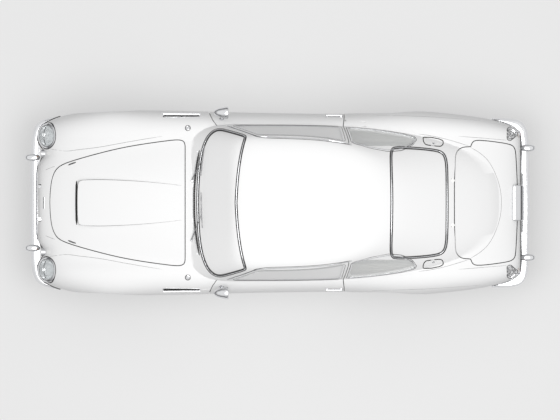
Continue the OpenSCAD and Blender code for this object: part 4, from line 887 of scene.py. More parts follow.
# ------------------------------------------------------------------ glass and its bright trims
def cab_sheet(d0, d1, cut):
    o = cab_solid("o", d0, KT, K); fix_normals(o); F = [smooth_field(o)]
    i = cab_solid("i", d1, KT, K); fix_normals(i); F.append(smooth_field(i))
    boolean(o, i, "DIFFERENCE"); boolean(o, cut, "INTERSECT")
    return smooth_on_skin(o, F, 0.0004)
put(cab_sheet(2, 7, screen_cut(-14)), "Windscreen", "car", "glass", "window_glass", ["windscreen"])
put(cab_sheet(2, 7, backlight_cut(-14)), "Rear_Window", "car", "glass", "window_glass", ["rear_window"])
def ring_trim(cut, a, b):
    c = cut(a); boolean(c, cut(b), "DIFFERENCE"); return cab_sheet(-2.5, 8, c)
def bead(cut_outline, g, w, h, name, d=0.0):
    """A rounded bright bead along an outline laid on the cabin skin."""
    P = grow(round_both(cut_outline, 8), g)
    H, Nn = [], []
    for x, y in P:
        t = on_top(x, y)
        H.append(t[0]); Nn.append(t[1])
    H, Nn = np.array(H), np.array(Nn)
    for _ in range(3):
        Nn = np.roll(Nn, 1, 0) + 2*Nn + np.roll(Nn, -1, 0); Nn /= np.linalg.norm(Nn, axis=1)[:, None]
        H[:, 2] = (np.roll(H[:, 2], 1) + 2*H[:, 2] + np.roll(H[:, 2], -1))/4
    sec = [(-w/2, -3), (-w/2, h*0.3), (-w*0.36, h*0.75), (-w*0.16, h*0.97), (w*0.16, h*0.97), (w*0.36, h*0.75), (w/2, h*0.3), (w/2, -3)]
    return sweep(name, H + Nn*d, sec, Nn, closed=True)
trims = [coloured(ring_trim(screen_cut, -0.4, -13.6), "seal"), coloured(ring_trim(backlight_cut, -0.4, -13.6), "seal")]
trims += [coloured(shade(bead(SCREEN, -7.0, 10.0, 4.6, "t1"), 40), "chrome"), coloured(shade(bead(BACKLIGHT, -7.0, 10.0, 4.6, "t2"), 40), "chrome")]
put(merge("Window_Trim", trims), "Window_Trim", "car", (), "chrome", ["window_trim"])
for p in bpy.data.objects["Window_Trim"].data.polygons: p.use_smooth = True
shade(bpy.data.objects["Window_Trim"], 40)

def side_sheet(d0, d1, P, s):
    return cab_sheet(d0, d1, side_cut(P, s, 500, 760))
def side_bead(P, g, w, h, s, name, d=0.0, tree=None):
    Q = grow(P, g)
    H, Nn = [], []
    for x, z in Q:
        t = on_side(x, z, s, CAB_TREE)
        if t is None: continue
        H.append(t[0]); Nn.append(t[1])
    H, Nn = np.array(H), np.array(Nn)
    for _ in range(3): Nn = np.roll(Nn, 1, 0) + 2*Nn + np.roll(Nn, -1, 0); Nn /= np.linalg.norm(Nn, axis=1)[:, None]
    sec = [(-w/2, -3), (-w/2, h*0.4), (-w*0.3, h*0.85), (0, h), (w*0.3, h*0.85), (w/2, h*0.4), (w/2, -3)]
    return sweep(name, H + Nn*d, sec, Nn, closed=True)
CAB_TREE = tree_of(cab_hi)
def dense(P, step=24):
    P = np.asarray(P, float); out = []
    for i in range(len(P)):
        a, b = P[i], P[(i + 1) % len(P)]; n = max(1, int(np.linalg.norm(b - a)/step))
        out += [a + (b - a)*j/n for j in range(n)]
    return np.array(out)
qs = []
for s in (1, -1): qs.append(side_sheet(3, 8, grow(QUARTER_S, -0.4), s))
q = merge("Quarter_Windows", qs); q = shade(q, 30)
put(q, "Quarter_Windows", "car", "glass", "window_glass", ["quarter_windows"])
qb = []
for s in (1, -1): qb.append(coloured(shade(side_bead(dense(QUARTER_S), -5, 9, 4, s, "qb"), 40), "chrome"))
put(shade(merge("Quarter_Trim", qb), 40), "Quarter_Trim", "car", (), "chrome")
for s, nm in ((1, "left"), (-1, "right")):
    put(side_sheet(8, 13, grow(WINDOW_S, -0.4), s), nm.capitalize() + "_Door_Glass", nm + "_door", "glass", "window_glass", [nm + "_door_glass"])
    b = coloured(shade(side_bead(dense(WINDOW_S), -4, 8, 3, s, "db", -1.0), 40), "chrome")
    put(b, nm.capitalize() + "_Window_Trim", nm + "_door", (), "chrome")

# ------------------------------------------------------------------ bumpers
FRONT_BAR = [[2227, 0, 54], [2226, 220, 54], [2222, 440, 52], [2214, 560, 47], [2205, 625, 46], [2188, 676, 46], [2160, 712, 44], [2122, 736, 32], [2075, 752, 22], [2020, 762, 14], [1960, 768, 14], [1900, 770, 14]]
REAR_BAR = [[-2227, 0, 70], [-2224, 300, 68], [-2220, 500, 65], [-2214, 600, 69], [-2200, 660, 73], [-2168, 712, 82], [-2120, 738, 77], [-2070, 748, 62], [-2010, 752, 44], [-1950, 754, 24], [-1890, 755, 14]]
def blade(path):
    H = curve(path, 8); D = np.concatenate([H[::-1, 2], H[1:, 2]]); H = H[:, :2]; P = np.vstack([H[::-1]*[1, -1], H[1:]]); up = 1 if path[0][0] > 0 else -1
    T = np.gradient(P, axis=0); T /= np.linalg.norm(T, axis=1)[:, None]
    O = np.column_stack([T[:, 1], -T[:, 0]])*up
    t = np.linspace(-1, 1, 17)
    outer = [(4 - 18*abs(v)**2.4, v*46) for v in t]; inner = [(4 - 18*abs(v)**2.4 - 4.5, v*43) for v in t[::-1]]
    n = len(P); R, G = [], []
    for i in range(n):
        k = min(1, 0.72 + 0.28*min(i, n - 1 - i)/8); d = D[i]; f = max(0.0, d - 14.5)
        lip = [(-14 - f*u, 46 + 1.2*math.sin(math.pi*u)) for u in (0.2, 0.4, 0.6, 0.8, 0.95, 1.0)] + [(-14 - f, 42.6), (-18, 42.4)]
        sec = outer + lip + inner
        R.append([(P[i][0] + O[i][0]*a, P[i][1] + O[i][1]*a, 455 + b*k) for a, b in sec])
        # a dark strip under the top flange, reaching in to the body: painted shade of the slit between bumper and body
        G.append([(P[i][0] + O[i][0]*a, P[i][1] + O[i][1]*a, 455 + b*k) for a, b in ((-d + 8, 36), (-d - 26, 36), (-d - 26, 41), (-d + 8, 41))])
    return loft("blade", R), loft("strip", G)
def overrider(x, y, dx, w):
    prof = [(-88, 0.30), (-86, 0.52), (-82, 0.74), (-75, 0.88), (-62, 0.96), (-40, 1.0), (0, 1.0), (40, 1.0), (60, 0.95), (72, 0.86), (79, 0.72), (82.5, 0.50), (84, 0.28)]
    R = []
    for z, k in prof:
        ring = []
        for i in range(40):
            p = 2*math.pi*i/40; c, s = math.cos(p), math.sin(p); q = (abs(c)**2.6 + abs(s)**2.6)**(-1/2.6)
            ring.append((x + dx*c*q*k, y + w*s*q*k, 455 + z))
        R.append(ring)
    return loft("ov", R)
def bumper(path, ox, oy, name, node, bracket, tow):
    bar, slit_shade_sheet = blade(path); parts = [bar, slit_shade_sheet]
    for s in (1, -1): parts.append(overrider(ox, oy*s, 67.4 if ox > 0 else 66.4, 32.5))
    low_cut = low_solid("lc", -1.6, 3, 3); fix_normals(low_cut)
    # the strip under the flange takes the black rubber colour as painted shade of the slit
    for p in parts: boolean(p, low_cut, "DIFFERENCE", True); shade(p, 35); p.data.materials.append(M["seal" if p is slit_shade_sheet else "chrome"])
    delete(low_cut)
    for s in (1, -1):
        r = coloured(shade(rbox("br", *sorted((bracket[0], bracket[1])), *sorted((bracket[2]*s, bracket[3]*s)), 440, 470, 3, 2), 30), "dark_metal"); parts.append(r)
        # a place is worked out for a rubber buffer face on the overrider, but none is built
        for z0 in (-30, 0, 30):
            e = ox + (37.4 if ox > 0 else -37.4)
    o = merge(name, parts)
    put(shade(o, 35), name, "car", (), "chrome", [node])
bumper(FRONT_BAR, 2210, 404, "Front_Bumper", "front_bumper", (2110, 2214, 300, 330), None)
bumper(REAR_BAR, -2213, 489, "Rear_Bumper", "rear_bumper", (-2214, -2110, 380, 410), None)

# ------------------------------------------------------------------ grille
def grille():
    sec = [(0, 2100), (0, 2163), (1.2, 2166.5), (4, 2168.8), (8, 2168.8), (11.5, 2166), (13.6, 2160), (13.6, 2100)]
    R = []
    for t, x in sec:
        E_ = superellipse(305.6 - t, 79.6 - t, 3.4, 144)
        R.append([(x, p[0], 520 + p[1]) for p in E_])
    R.append(R[0])
    n, m = len(R) - 1, 144
    V = [p for r in R[:-1] for p in r]
    F = [(i*m + j, i*m + (j + 1) % m, ((i + 1) % n)*m + (j + 1) % m, ((i + 1) % n)*m + j) for i in range(n) for j in range(m)]
    f = new_obj("gf", V, F); fix_normals(f); shade(f, 35); f.data.materials.append(M["chrome"])
    parts = [f]
    def half_h(y): return max(0, 66.5*(1 - (abs(y)/292)**3.4)**(1/3.4)) if abs(y) < 292 else 0
    y = -276
    while y <= 276.1:
        h = half_h(y)
        if h > 8:
            sl = tube("sl", [(2124, y, 520 - h), (2127, y, 520 - h*0.5), (2128, y, 520), (2127, y, 520 + h*0.5), (2124, y, 520 + h)], 2.0, 8, up=(1, 0, 0)); parts.append(coloured(shade(sl, 60), "chrome"))
        y += 12
    for z in (478, 499, 520, 541, 562):
        w = 291*(1 - (abs(z - 520)/66.5)**3.4)**(1/3.4)
        b = sweep("hb", [(2116, -w, z), (2116, -w/2, z), (2116, 0, z), (2116, w/2, z), (2116, w, z)], [(-4.5, -1.6), (-4.5, 1.6), (3.5, 2.4), (4.5, 0), (3.5, -2.4)]); parts.append(coloured(shade(b, 30), "polished"))
    mesh_back = box_obj("mb", 2098, 2101, -293, 293, 452, 588); parts.append(coloured(mesh_back, "seal"))
    return merge("Grille", parts)
g = grille(); put(g, "Grille", "car", (), "chrome", ["grille"])

# ------------------------------------------------------------------ lamps
def dome(r, R=256.0, c=-228.0): return c + math.sqrt(R*R - r*r)
for s, nm in ((1, "Left"), (-1, "Right")):
    L4 = at_lamp_matrix(s)
    ring = lathe("r", [(113.7, -18), (113.7, -0.5), (112.6, 1.4), (110, 3.2), (106, 4.9), (101, 6.9), (97.2, 7.9), (95.4, 7.2), (94.6, 4.6), (94.4, -2), (96, -18)], 128, L4, closed=True)
    coloured(shade(ring, 30), "chrome")
    ring2 = lathe("r2", [(94.6, 2), (94.6, 5.8), (92.8, 7.4), (90.6, 7.6), (89.6, 6.4), (89.4, 2)], 128, L4, closed=True); coloured(shade(ring2, 30), "seal")
    bowl = lathe("b", [(0, -74), (12, -73), (28, -70), (48, -62), (66, -49), (80, -32), (89, -12), (93.5, 1), (95, 1), (91, -13), (82, -34), (68, -51.5), (49, -65), (28, -73.4), (0, -77)], 96, L4); coloured(shade(bowl, 30), "reflector")
    cone = lathe("k", [(0, -60), (17, -58), (19.5, -50), (19.5, -34), (16, -27), (9, -23), (0, -22)], 48, L4); coloured(shade(cone, 30), "chrome")
    hb = lathe("hb", [(0, -77.5), (68, -77.5), (109, -18.5), (109, -16), (66, -74), (0, -76.8)], 64, L4); coloured(shade(hb, 30), "dark_metal")
    parts = [ring, ring2, bowl, cone, hb]
    for a in (90, 210, 330):
        q = lathe("s", [(0, 6.4), (2.6, 6.4), (3.2, 5.8), (3.2, 3.4), (0, 3.4)], 16, L4 @ Matrix.Translation((0.104*math.cos(rad(a)), 0.104*math.sin(rad(a)), -0.0006))); parts.append(coloured(shade(q, 30), "steel"))
    o = merge(nm + "_Headlamp", parts); put(shade(o, 30), nm + "_Headlamp", "car", (), "chrome", ["headlamps"] if s > 0 else ())
    # fluted front glass
    k, nr = 96, 24
    V, F = [], []
    def zt(x, y, r): return dome(min(r, 96)) + (0.5*math.cos(y/5.2) if r < 84 and abs(x) < 60 else 0) - 0.6
    rr = np.linspace(0, 93.5, nr)
    def grid(off, flip):
        b = len(V)
        for i, r in enumerate(rr):
            for j in range(k):
                t = 2*math.pi*j/k; x, y = r*math.cos(t), r*math.sin(t)
                V.append((x, y, (zt(x, y, r) if off == 0 else dome(r) - 4.2)))
        for i in range(nr - 1):
            for j in range(k):
                q = (b + i*k + j, b + i*k + (j + 1) % k, b + (i + 1)*k + (j + 1) % k, b + (i + 1)*k + j)
                F.append(q[::-1] if flip else q)
        return b
    a0 = grid(0, True); b0 = grid(1, False)
    for j in range(k): F.append((a0 + (nr - 1)*k + j, a0 + (nr - 1)*k + (j + 1) % k, b0 + (nr - 1)*k + (j + 1) % k, b0 + (nr - 1)*k + j))
    gl = new_obj("g", V, F)
    bm = bmesh.new(); bm.from_mesh(gl.data); bmesh.ops.remove_doubles(bm, verts=bm.verts, dist=1e-7); bmesh.ops.dissolve_degenerate(bm, dist=1e-8, edges=bm.edges)
    bmesh.ops.recalc_face_normals(bm, faces=bm.faces); bm.to_mesh(gl.data); bm.free()
    moved(gl, L4); shade(gl, 40); put(gl, nm + "_Headlamp_Glass", "car", "lamp_glass", "lamp_glass")
    # side and turn lamp under the headlamp
    X = Matrix.Rotation(rad(90), 4, "Y")
    at = Matrix.Translation((2.040, 0.440*s, 0.585)) @ X
    base = lathe("i", [(0, 2), (29.8, 2), (29.8, 56), (28.4, 60), (25.5, 61.5), (24.2, 60), (24.2, 50), (0, 50)], 64, at); coloured(shade(base, 30), "chrome")
    lens = lathe("l", [(0, 50), (23.9, 50), (23.9, 62), (22.5, 66), (20.5, 68.6), (20.0, 68.0), (17.5, 71.2), (16.9, 70.6), (14, 73.6), (13.4, 73.0), (10, 75.6), (9.4, 75.0), (5, 77.2), (0, 77.8)], 64, at); coloured(shade(lens, 25), "amber")
    o = merge("x", [base, lens]); put(shade(o, 28), nm + "_Front_Indicator", "car", (), "amber_lens", ["front_indicators"] if s > 0 else ())
    # three round tail lamps
    parts = []
    for z, col in ((590, "red"), (655, "red"), (720, "amber")):
        e = -2117.6 if z > 700 else -2139.6
        at = Matrix.Translation((e/1000, 0.612*s, z/1000)) @ Matrix.Rotation(rad(-90), 4, "Y")
        base = lathe("i", [(0, -27), (29.8, -27), (29.8, -4), (29.2, -1.6), (27.4, 0), (25.6, -1.2), (25, -5), (25, -12), (0, -12)], 64, at); parts.append(coloured(shade(base, 30), "chrome"))
        lens = lathe("l", [(0, -12), (24.7, -12), (24.7, -6), (23.4, -3.6), (21, -2.6), (20.4, -3.2), (17.5, -1.4), (16.9, -2.0), (13.5, -0.6), (12.9, -1.2), (8.5, -0.1), (7.9, -0.6), (0, 0)], 64, at); parts.append(coloured(shade(lens, 25), col))
    o = merge("x", parts); put(shade(o, 28), nm + "_Tail_Lamps", "car", (), "red_lens", ["tail_lamps"] if s > 0 else ())

# ------------------------------------------------------------------ wing vents
def vent(s):
    o = copy(low_hi, "v"); i = low_solid("vi", 9, 3, 3); fix_normals(i); boolean(o, i, "DIFFERENCE")
    boolean(o, side_cut(grow(VENT, -0.3), s, 730, 860), "INTERSECT")
    y0, y1 = sorted((700*s, 900*s))
    boolean(o, side_cut(grow(VENT, -9), s, 730, 860), "DIFFERENCE")
    smooth_on_skin(o); o.data.materials.append(M["chrome"])
    parts = [o]
    for k in range(4):
        z = 757 + k*12
        P, U = [], []
        for x in np.linspace(720, 1040, 20):
            t = on_side(x, z, s, LOW_TREE)
            P.append(t[0] - np.array([0, 6*s, 0])); U.append(t[1])
        sl = sweep("vl", P, [(-3.2, -3), (-2.2, -3), (3.6, 2.6), (2.6, 3.0)], np.array(U)); parts.append(coloured(shade(sl, 30), "chrome"))
    P = [on_side(x, 773, s, LOW_TREE)[0] - np.array([0, 9.5*s, 0]) for x in np.linspace(716, 1044, 12)]
    bk = sweep("vb", P, [(-25, -1), (25, -1), (25, 1), (-25, 1)], (0, s, 0)); parts.append(coloured(bk, "seal"))
    return merge("v", parts)
LOW_TREE = tree_of(low_hi)
for s, nm in ((1, "Left"), (-1, "Right")):
    put(vent(s), nm + "_Wing_Vent", "car", (), "chrome", ["wing_vents"] if s > 0 else ())

# ------------------------------------------------------------------ boot handle and plate lamp
def boot_handle():
    prof = soften([[-2072, 790], [-2075, 821], [-2100, 827], [-2150, 805], [-2171, 783], [-2174, 762], [-2165, 743], [-2140, 737], [-2100, 741]], 9, 3)
    ys = [-159.5, -158.5, -155, -149, -140, -90, 0, 90, 140, 149, 155, 158.5, 159.5]; ks = [0.84, 0.90, 0.955, 0.985, 1, 1, 1, 1, 1, 0.985, 0.955, 0.90, 0.84]
    c = prof.mean(0)
    o = loft("bh", [[(c[0] + (p[0] - c[0])*k, y, c[1] + (p[1] - c[1])*k) for p in prof] for y, k in zip(ys, ks)])
    b = low_solid("lc", -0.6, 3, 3); fix_normals(b); boolean(o, b, "DIFFERENCE")
    shade(o, 32); o.data.materials.append(M["chrome"])
    parts = [o]
    for s in (1, -1):       # plate lamp lenses under the lip
        parts.append(coloured(shade(rbox("pl", -2158, -2128, *sorted((40*s, 100*s)), 734.5, 739, 2, 2), 30), "clear_lens"))
    parts.append(coloured(shade(lathe("lk", [(0, -2), (11, -2), (11, 2.4), (9.5, 3.6), (7.5, 3.2), (7, 2.2), (0, 2.2)], 40, Matrix.Translation((-2.1745, 0, 0.7665)) @ Matrix.Rotation(rad(-84), 4, "Y") @ Matrix.Translation((0, 0, -0.0028))), 30), "chrome"))
    return merge("bh", parts)
put(boot_handle(), "Boot_Handle", "boot_lid", (), "chrome", ["boot_handle"])

# ------------------------------------------------------------------ door fittings
def fittings(s):
    parts = []
    # bar handle on two stands, with its button
    bar = [(-557, 779.5, 788, 5.0), (-553, 781, 788, 7.2), (-545, 781, 788, 8.4), (-520, 781.2, 788, 8.9), (-480, 781.2, 788, 8.9), (-450, 781, 788, 8.4), (-425, 781, 788, 7.6), (-412, 780.5, 788, 6.2), (-407, 779.5, 788, 4.2)]
    R = []
    for x, y, z, r in bar:
        R.append([(x, y + r*math.cos(2*math.pi*i/24), z + r*1.02*math.sin(2*math.pi*i/24)) for i in range(24)])
    parts.append(coloured(shade(loft("hb", R), 40), "chrome"))
    for x, r in ((-420, 8), (-538, 8)):
        st = lathe("st", [(0, -4), (r*1.5, -4), (r*1.5, -1.5), (r*1.25, 0), (r*0.8, 3), (r*0.72, 10), (r*0.8, 14), (0, 14)], 32, Matrix.Translation((x/1000, 0.765, 0.788)) @ Matrix.Rotation(rad(-90), 4, "X")); parts.append(coloured(shade(st, 40), "chrome"))
    bt = lathe("bt", [(0, -8), (12.6, -8), (12.8, 6), (12.2, 9), (10.6, 10), (8.6, 9.2), (7.6, 8.4), (0, 8.2)], 40, Matrix.Translation((-0.546, 0.7675, 0.788)) @ Matrix.Rotation(rad(-90), 4, "X")); parts.append(coloured(shade(bt, 30), "chrome"))
    ks = rbox("ks", -547.2, -544.8, 775.5, 776.4, 783, 793, 0.4, 1); parts.append(coloured(ks, "seal"))
    # bullet mirror
    X = Matrix.Translation((0.484, 0.806, 0.950)) @ Matrix.Rotation(rad(90), 4, "Y")
    prof = spline([(50, -24), (54.6, -20), (55.8, -8), (54.6, 8), (51.5, 21), (47.5, 40), (41.4, 60), (34.4, 78), (25.6, 92), (19, 100), (11.6, 106), (5, 109.2), (0, 109.9)], 4)
    cup = lathe("m", [(0, -18), (46.5, -18), (47, -23.4), (48.4, -24)] + [(max(0, p[0]), p[1]) for p in np.c_[prof[:, 0], prof[:, 1]]], 72, X); parts.append(coloured(shade(cup, 30), "chrome"))
    gl = lathe("mg", [(0, -17.9), (46.2, -17.9), (46.2, -20.2), (45.2, -21.0), (30, -21.7), (0, -22.2)], 72, X); parts.append(coloured(shade(gl, 30), "reflector"))
    st = [(0.520, 0.764, 0.838), (0.519, 0.772, 0.853), (0.516, 0.782, 0.872), (0.510, 0.794, 0.892), (0.503, 0.803, 0.912), (0.497, 0.808, 0.925)]
    P = spline(np.array(st)*1000, 5); n = len(P); sc = [(1.25 - 0.5*min(1, i/6), 1.0 - 0.25*min(1, i/6)) for i in range(n)]
    parts.append(coloured(shade(sweep("ms", P, circle_pts(11, 20), (1, 0, 0), scale=sc), 40), "chrome"))
    t = on_side(522, 842, 1)
    q = Vector(t[1]).to_track_quat("Z", "Y").to_matrix().to_4x4()
    ft = lathe("mf", [(0, -4), (19, -4), (20, -1), (19.5, 1.6), (16, 3.6), (12, 5.6), (0, 6.4)], 40, Matrix.Translation(Vector(t[0])/1000) @ q @ Matrix.Scale(1.15, 4, (1, 0, 0))); parts.append(coloured(shade(ft, 30), "chrome"))
    for z in (400, 710):
        a = cyl_obj("h", (687, 780, z), (0, 0, 1), 10, -5, 5, 40)
        boolean(a, box_obj("c", 679, 695, 712, 780, z - 4.8, z + 4.8), "UNION"); boolean(a, box_obj("c", 621, 695, 710.5, 727.5, z - 4.8, z + 4.8), "UNION")
        boolean(a, cyl_obj("c", (687, 780, z), (0, 0, 1), 5.2, -10, 10, 32), "DIFFERENCE")
        parts.append(coloured(shade(a, 30), "dark_metal"))
    return merge("df", parts)
for s, nm in ((1, "left"), (-1, "right")):
    f = fittings(1)
    if s < 0: moved(f, MIRROR)
    put(f, nm.capitalize() + "_Door_Fittings", nm + "_door", (), "chrome", [nm + "_door_fittings"])

# ------------------------------------------------------------------ wipers
def wiper(pivot, elbow, blade_pts, s_name):
    parts = []
    t = on_top(*pivot)
    q = Vector(t[1]).to_track_quat("Z", "Y").to_matrix().to_4x4()
    parts.append(coloured(shade(lathe("wp", [(0, -2), (13, -2), (13.5, 1), (12, 4), (9, 6), (8.4, 13), (6.5, 15.5), (0, 16)], 40, Matrix.Translation(Vector(t[0])/1000) @ q), 30), "chrome"))
    arm, U = drape([pivot, ((pivot[0]*0.6 + elbow[0]*0.4), (pivot[1]*0.6 + elbow[1]*0.4)), elbow], 12, 8)
    n = len(arm); sc = [(1.5 - 0.9*i/(n - 1), 1.3 - 0.6*i/(n - 1)) for i in range(n)]
    parts.append(coloured(shade(sweep("wa", arm, [(-4, -1.6), (-4, 0.6), (-2.6, 1.8), (2.6, 1.8), (4, 0.6), (4, -1.6)], U, scale=sc), 40), "steel"))
    bl, U = drape(blade_pts, 9.5, 8, 6)
    n = len(bl); sc = [(0.5 + 0.5*min(1, min(i, n - 1 - i)/5),)*2 for i in range(n)]
    parts.append(coloured(shade(sweep("wb", bl, [(-2.4, -1.2), (-2.4, 1.0), (0, 2.6), (2.4, 1.0), (2.4, -1.2)], U, scale=sc), 30), "steel"))
    rb, U = drape(blade_pts, 6.6, 8, 6)
    parts.append(coloured(shade(sweep("wr", rb, [(-0.9, -0.8), (-2.2, 1.6), (2.2, 1.6), (0.9, -0.8)], U), 30), "seal"))
    m = len(bl)
    for a, b in ((int(m*0.14), int(m*0.44)), (int(m*0.56), int(m*0.86))):
        seg = bl[a:b + 1].copy(); k = len(seg); seg += U[a:b + 1]*(np.sin(np.linspace(0, math.pi, k))*4.0)[:, None]
        parts.append(coloured(shade(sweep("wy", seg, [(-1.6, -0.5), (-1.6, 0.9), (1.6, 0.9), (1.6, -0.5)], U[a:b + 1]), 30), "steel"))
    return merge("w", parts)
w1 = wiper((784, 332), (698, 116), [(688, 224), (694, 110), (698, 8), (697, -40), (700, -93)], "a")
w2 = wiper((784, -196), (693, -374), [(700, -242), (692, -326), (681, -408), (674, -466), (664, -522)], "b")
put(merge("Wipers", [w1, w2]), "Wipers", "car", (), "steel", ["wipers"])

# ------------------------------------------------------------------ wire wheels and tyres
TO_Y = Matrix.Rotation(-math.pi/2, 4, "X")         # the wheel's own z, its outer side, becomes the car's left

def seg_tube(name, a, b, r, n=6):
    a, b = np.array(a, float), np.array(b, float)
    return tube(name, np.array([a, b]), r, n, up=(0.31, 0.22, 0.92))

def build_wheel():
    parts = []
    rim = lathe("rim", [(202, 76), (205, 75), (206, 72), (205, 69), (199, 66), (197, 50), (184, 41), (181, 20), (181, -20), (184, -41), (197, -50), (199, -66), (205, -69), (206, -72), (205, -75), (202, -76),
                        (197, -73), (194, -66), (192, -51), (178, -43), (174.5, -20), (174.5, 20), (178, 40), (192, 50), (194, 66), (197, 73)], 144, closed=True)
    parts.append(coloured(rim, "wheel"))
    hub = lathe("hub", [(0, -7), (40, -7), (45, -4), (45, 3), (40, 6), (36, 14), (32, 30), (30, 44), (31, 50), (34.5, 53), (34.5, 58), (31, 61), (26, 64), (0, 64)], 72)
    parts.append(coloured(hub, "wheel"))
    # two rows of spokes, each crossing its neighbours
    def row(n, rh, zh, rr, zr, lean, off):
        for k in range(n):
            t = 2*math.pi*k/n + off; s = lean if k % 2 else -lean
            a = (rh*math.cos(t), rh*math.sin(t), zh + (1.6 if k % 2 else -1.6)); b = (rr*math.cos(t + s), rr*math.sin(t + s), zr)
            parts.append(coloured(seg_tube("sp", a, b, 2.1, 6), "wheel"))
            d = np.array(b) - np.array(a); d /= np.linalg.norm(d)          # its nipple at the rim
            parts.append(coloured(seg_tube("np", np.array(b) - d*13, np.array(b) + d*1.0, 3.3, 6), "wheel"))
    row(40, 32.5, 55.5, 176, 14, rad(19), 0)
    row(32, 43, 0, 176, -7.5, rad(24), rad(4))
    row(20, 36, 15, 176, 3, rad(9), rad(2))
    # splined centre, and a nut with two ears
    nut = lathe("nut", [(0, 60), (27, 60), (29, 63), (29, 68), (26, 71), (22, 73), (20, 77), (14, 81), (6, 83), (0, 83.4)], 64)
    parts.append(coloured(nut, "wheel"))
    for q in (0, math.pi):
        ear = loft("ear", [[(x, y*w, 70 + z*h) for y, z in ((-1, -0.5), (-0.6, -1), (0.6, -1), (1, -0.5), (1, 0.5), (0.6, 1), (-0.6, 1), (-1, 0.5))]
                           for x, w, h in ((16, 9, 7), (26, 10, 6.5), (36, 12, 5.5), (46, 12.5, 5), (54, 10.5, 4.5), (60, 7, 3.5), (62, 4, 2))])
        moved(ear, Matrix.Rotation(q, 4, "Z")); parts.append(coloured(ear, "wheel"))
    ring = lathe("badge_ring", [(13, 80.6), (13.8, 82.2), (12.4, 83.6), (11, 82.6)], 48, closed=True); parts.append(coloured(ring, "wheel"))
    stem = seg_tube("valve", (0, -170, 30), (0, -158, 40), 3.2, 10); parts.append(coloured(stem, "black"))
    cap = seg_tube("valve_cap", (0, -160, 38.3), (0, -152, 45), 4.0, 12); parts.append(coloured(cap, "black"))
    o = merge("wheel_master", parts)
    shade(o, 35)
    return moved(o, TO_Y)

def build_tyre():
    side = [(206.8, 62), (207.4, 68), (211, 73), (216, 75.4), (219, 77.6), (222, 77.8), (224, 76.6), (236, 79.4), (250, 81.0), (262, 81.2), (264, 81.9), (267, 81.9), (269, 81.1), (284, 80.2),
            (296, 78.2), (298, 78.6), (301, 77.8), (303, 76.4), (314, 73.4), (326, 69.6), (334, 66.4)]
    grooves = ((44, 3.2, 7.5, 1), (17, 3.2, 7.5, -1))       # middle, half width, depth, way of the zigzag
    def crown(y): return 349.9 - 5.2*(abs(y)/62)**2.2
    cols = [("s", y, 0, 0) for y in (63.5, 60.5, 54)]
    for c, w, d, z in grooves:
        cols += [("g", c + w + 1.2, 0, z), ("g", c + w, 0, z), ("g", c + w*0.62, d, z), ("g", c - w*0.62, d, z), ("g", c - w, 0, z), ("g", c - w - 1.2, 0, z)]
        cols += [("m", c - 13, 0, 0)] if c > 30 else [("m", 6, 0, 0)]
    N, per = 360, 6
    amp = [-1, -1/3, 1/3, 1, 1/3, -1/3]
    inner = [(330, 60), (322, 66), (280, 73), (240, 72), (216, 64), (212, 58)]
    V, F = [], []
    for i in range(N):
        t = 2*math.pi*i/N; ph = i % per; ct, st = math.cos(t), math.sin(t)
        def half(sgn):
            out = []
            for r, y in side: out.append((r, y))
            for kind, y, d, z in cols:
                yy = y + (4.0*amp[(ph + (3 if sgn < 0 else 0)) % per]*z if kind == "g" else 0)
                r = crown(yy) - d
                slot = ph in (4, 5)
                if kind == "s" and slot: r -= 5.5 if y > 55 else 4.5
                if kind == "s" and y > 62: r = min(r, 341.5) if not slot else 337.0
                out.append((r, yy))
            return out
        a = [(r, y) for r, y in half(1)]; b = [(r, -y) for r, y in half(-1)][::-1]
        c = [(r, -y) for r, y in inner[::-1]] + [(r, y) for r, y in inner]
        ring = a + [(crown(0), 0)] + b + [(r, y) for r, y in [(r_, -y_) for r_, y_ in inner[::-1]]] + [(338, -40), (338, 40)] + inner
        for r, y in ring: V.append((r*ct, r*st, y))
    K = len(V)//N
    for i in range(N):
        a, b = i*K, ((i + 1) % N)*K
        for j in range(K):
            j2 = (j + 1) % K
            F.append((a + j, a + j2, b + j2, b + j))
    o = new_obj("tyre_master", V, F); fix_normals(o)
    coloured(o, "tyre"); shade(o, 28)
    return moved(o, TO_Y)

wheel_m, tyre_m = build_wheel(), build_tyre()
for fr, x, tr in (("front", 1508, 686), ("rear", -981, 680)):
    for sd, s in (("left", 1), ("right", -1)):
        T = Matrix.Translation(Vector((x, s*tr, 350))/1000)
        for kind, src, sl in (("wheel", wheel_m, "wheel_chrome"), ("tyre", tyre_m, "tyre_rubber")):
            o = copy(src, "t")
            if s < 0: moved(o, MIRROR)
            moved(o, T)
            put(o, f"{fr.title()}_{sd.title()}_{kind.title()}", f"{fr}_{sd}_wheel", (), sl, (f"{fr}_{sd}_{kind}",))
delete(wheel_m, tyre_m)

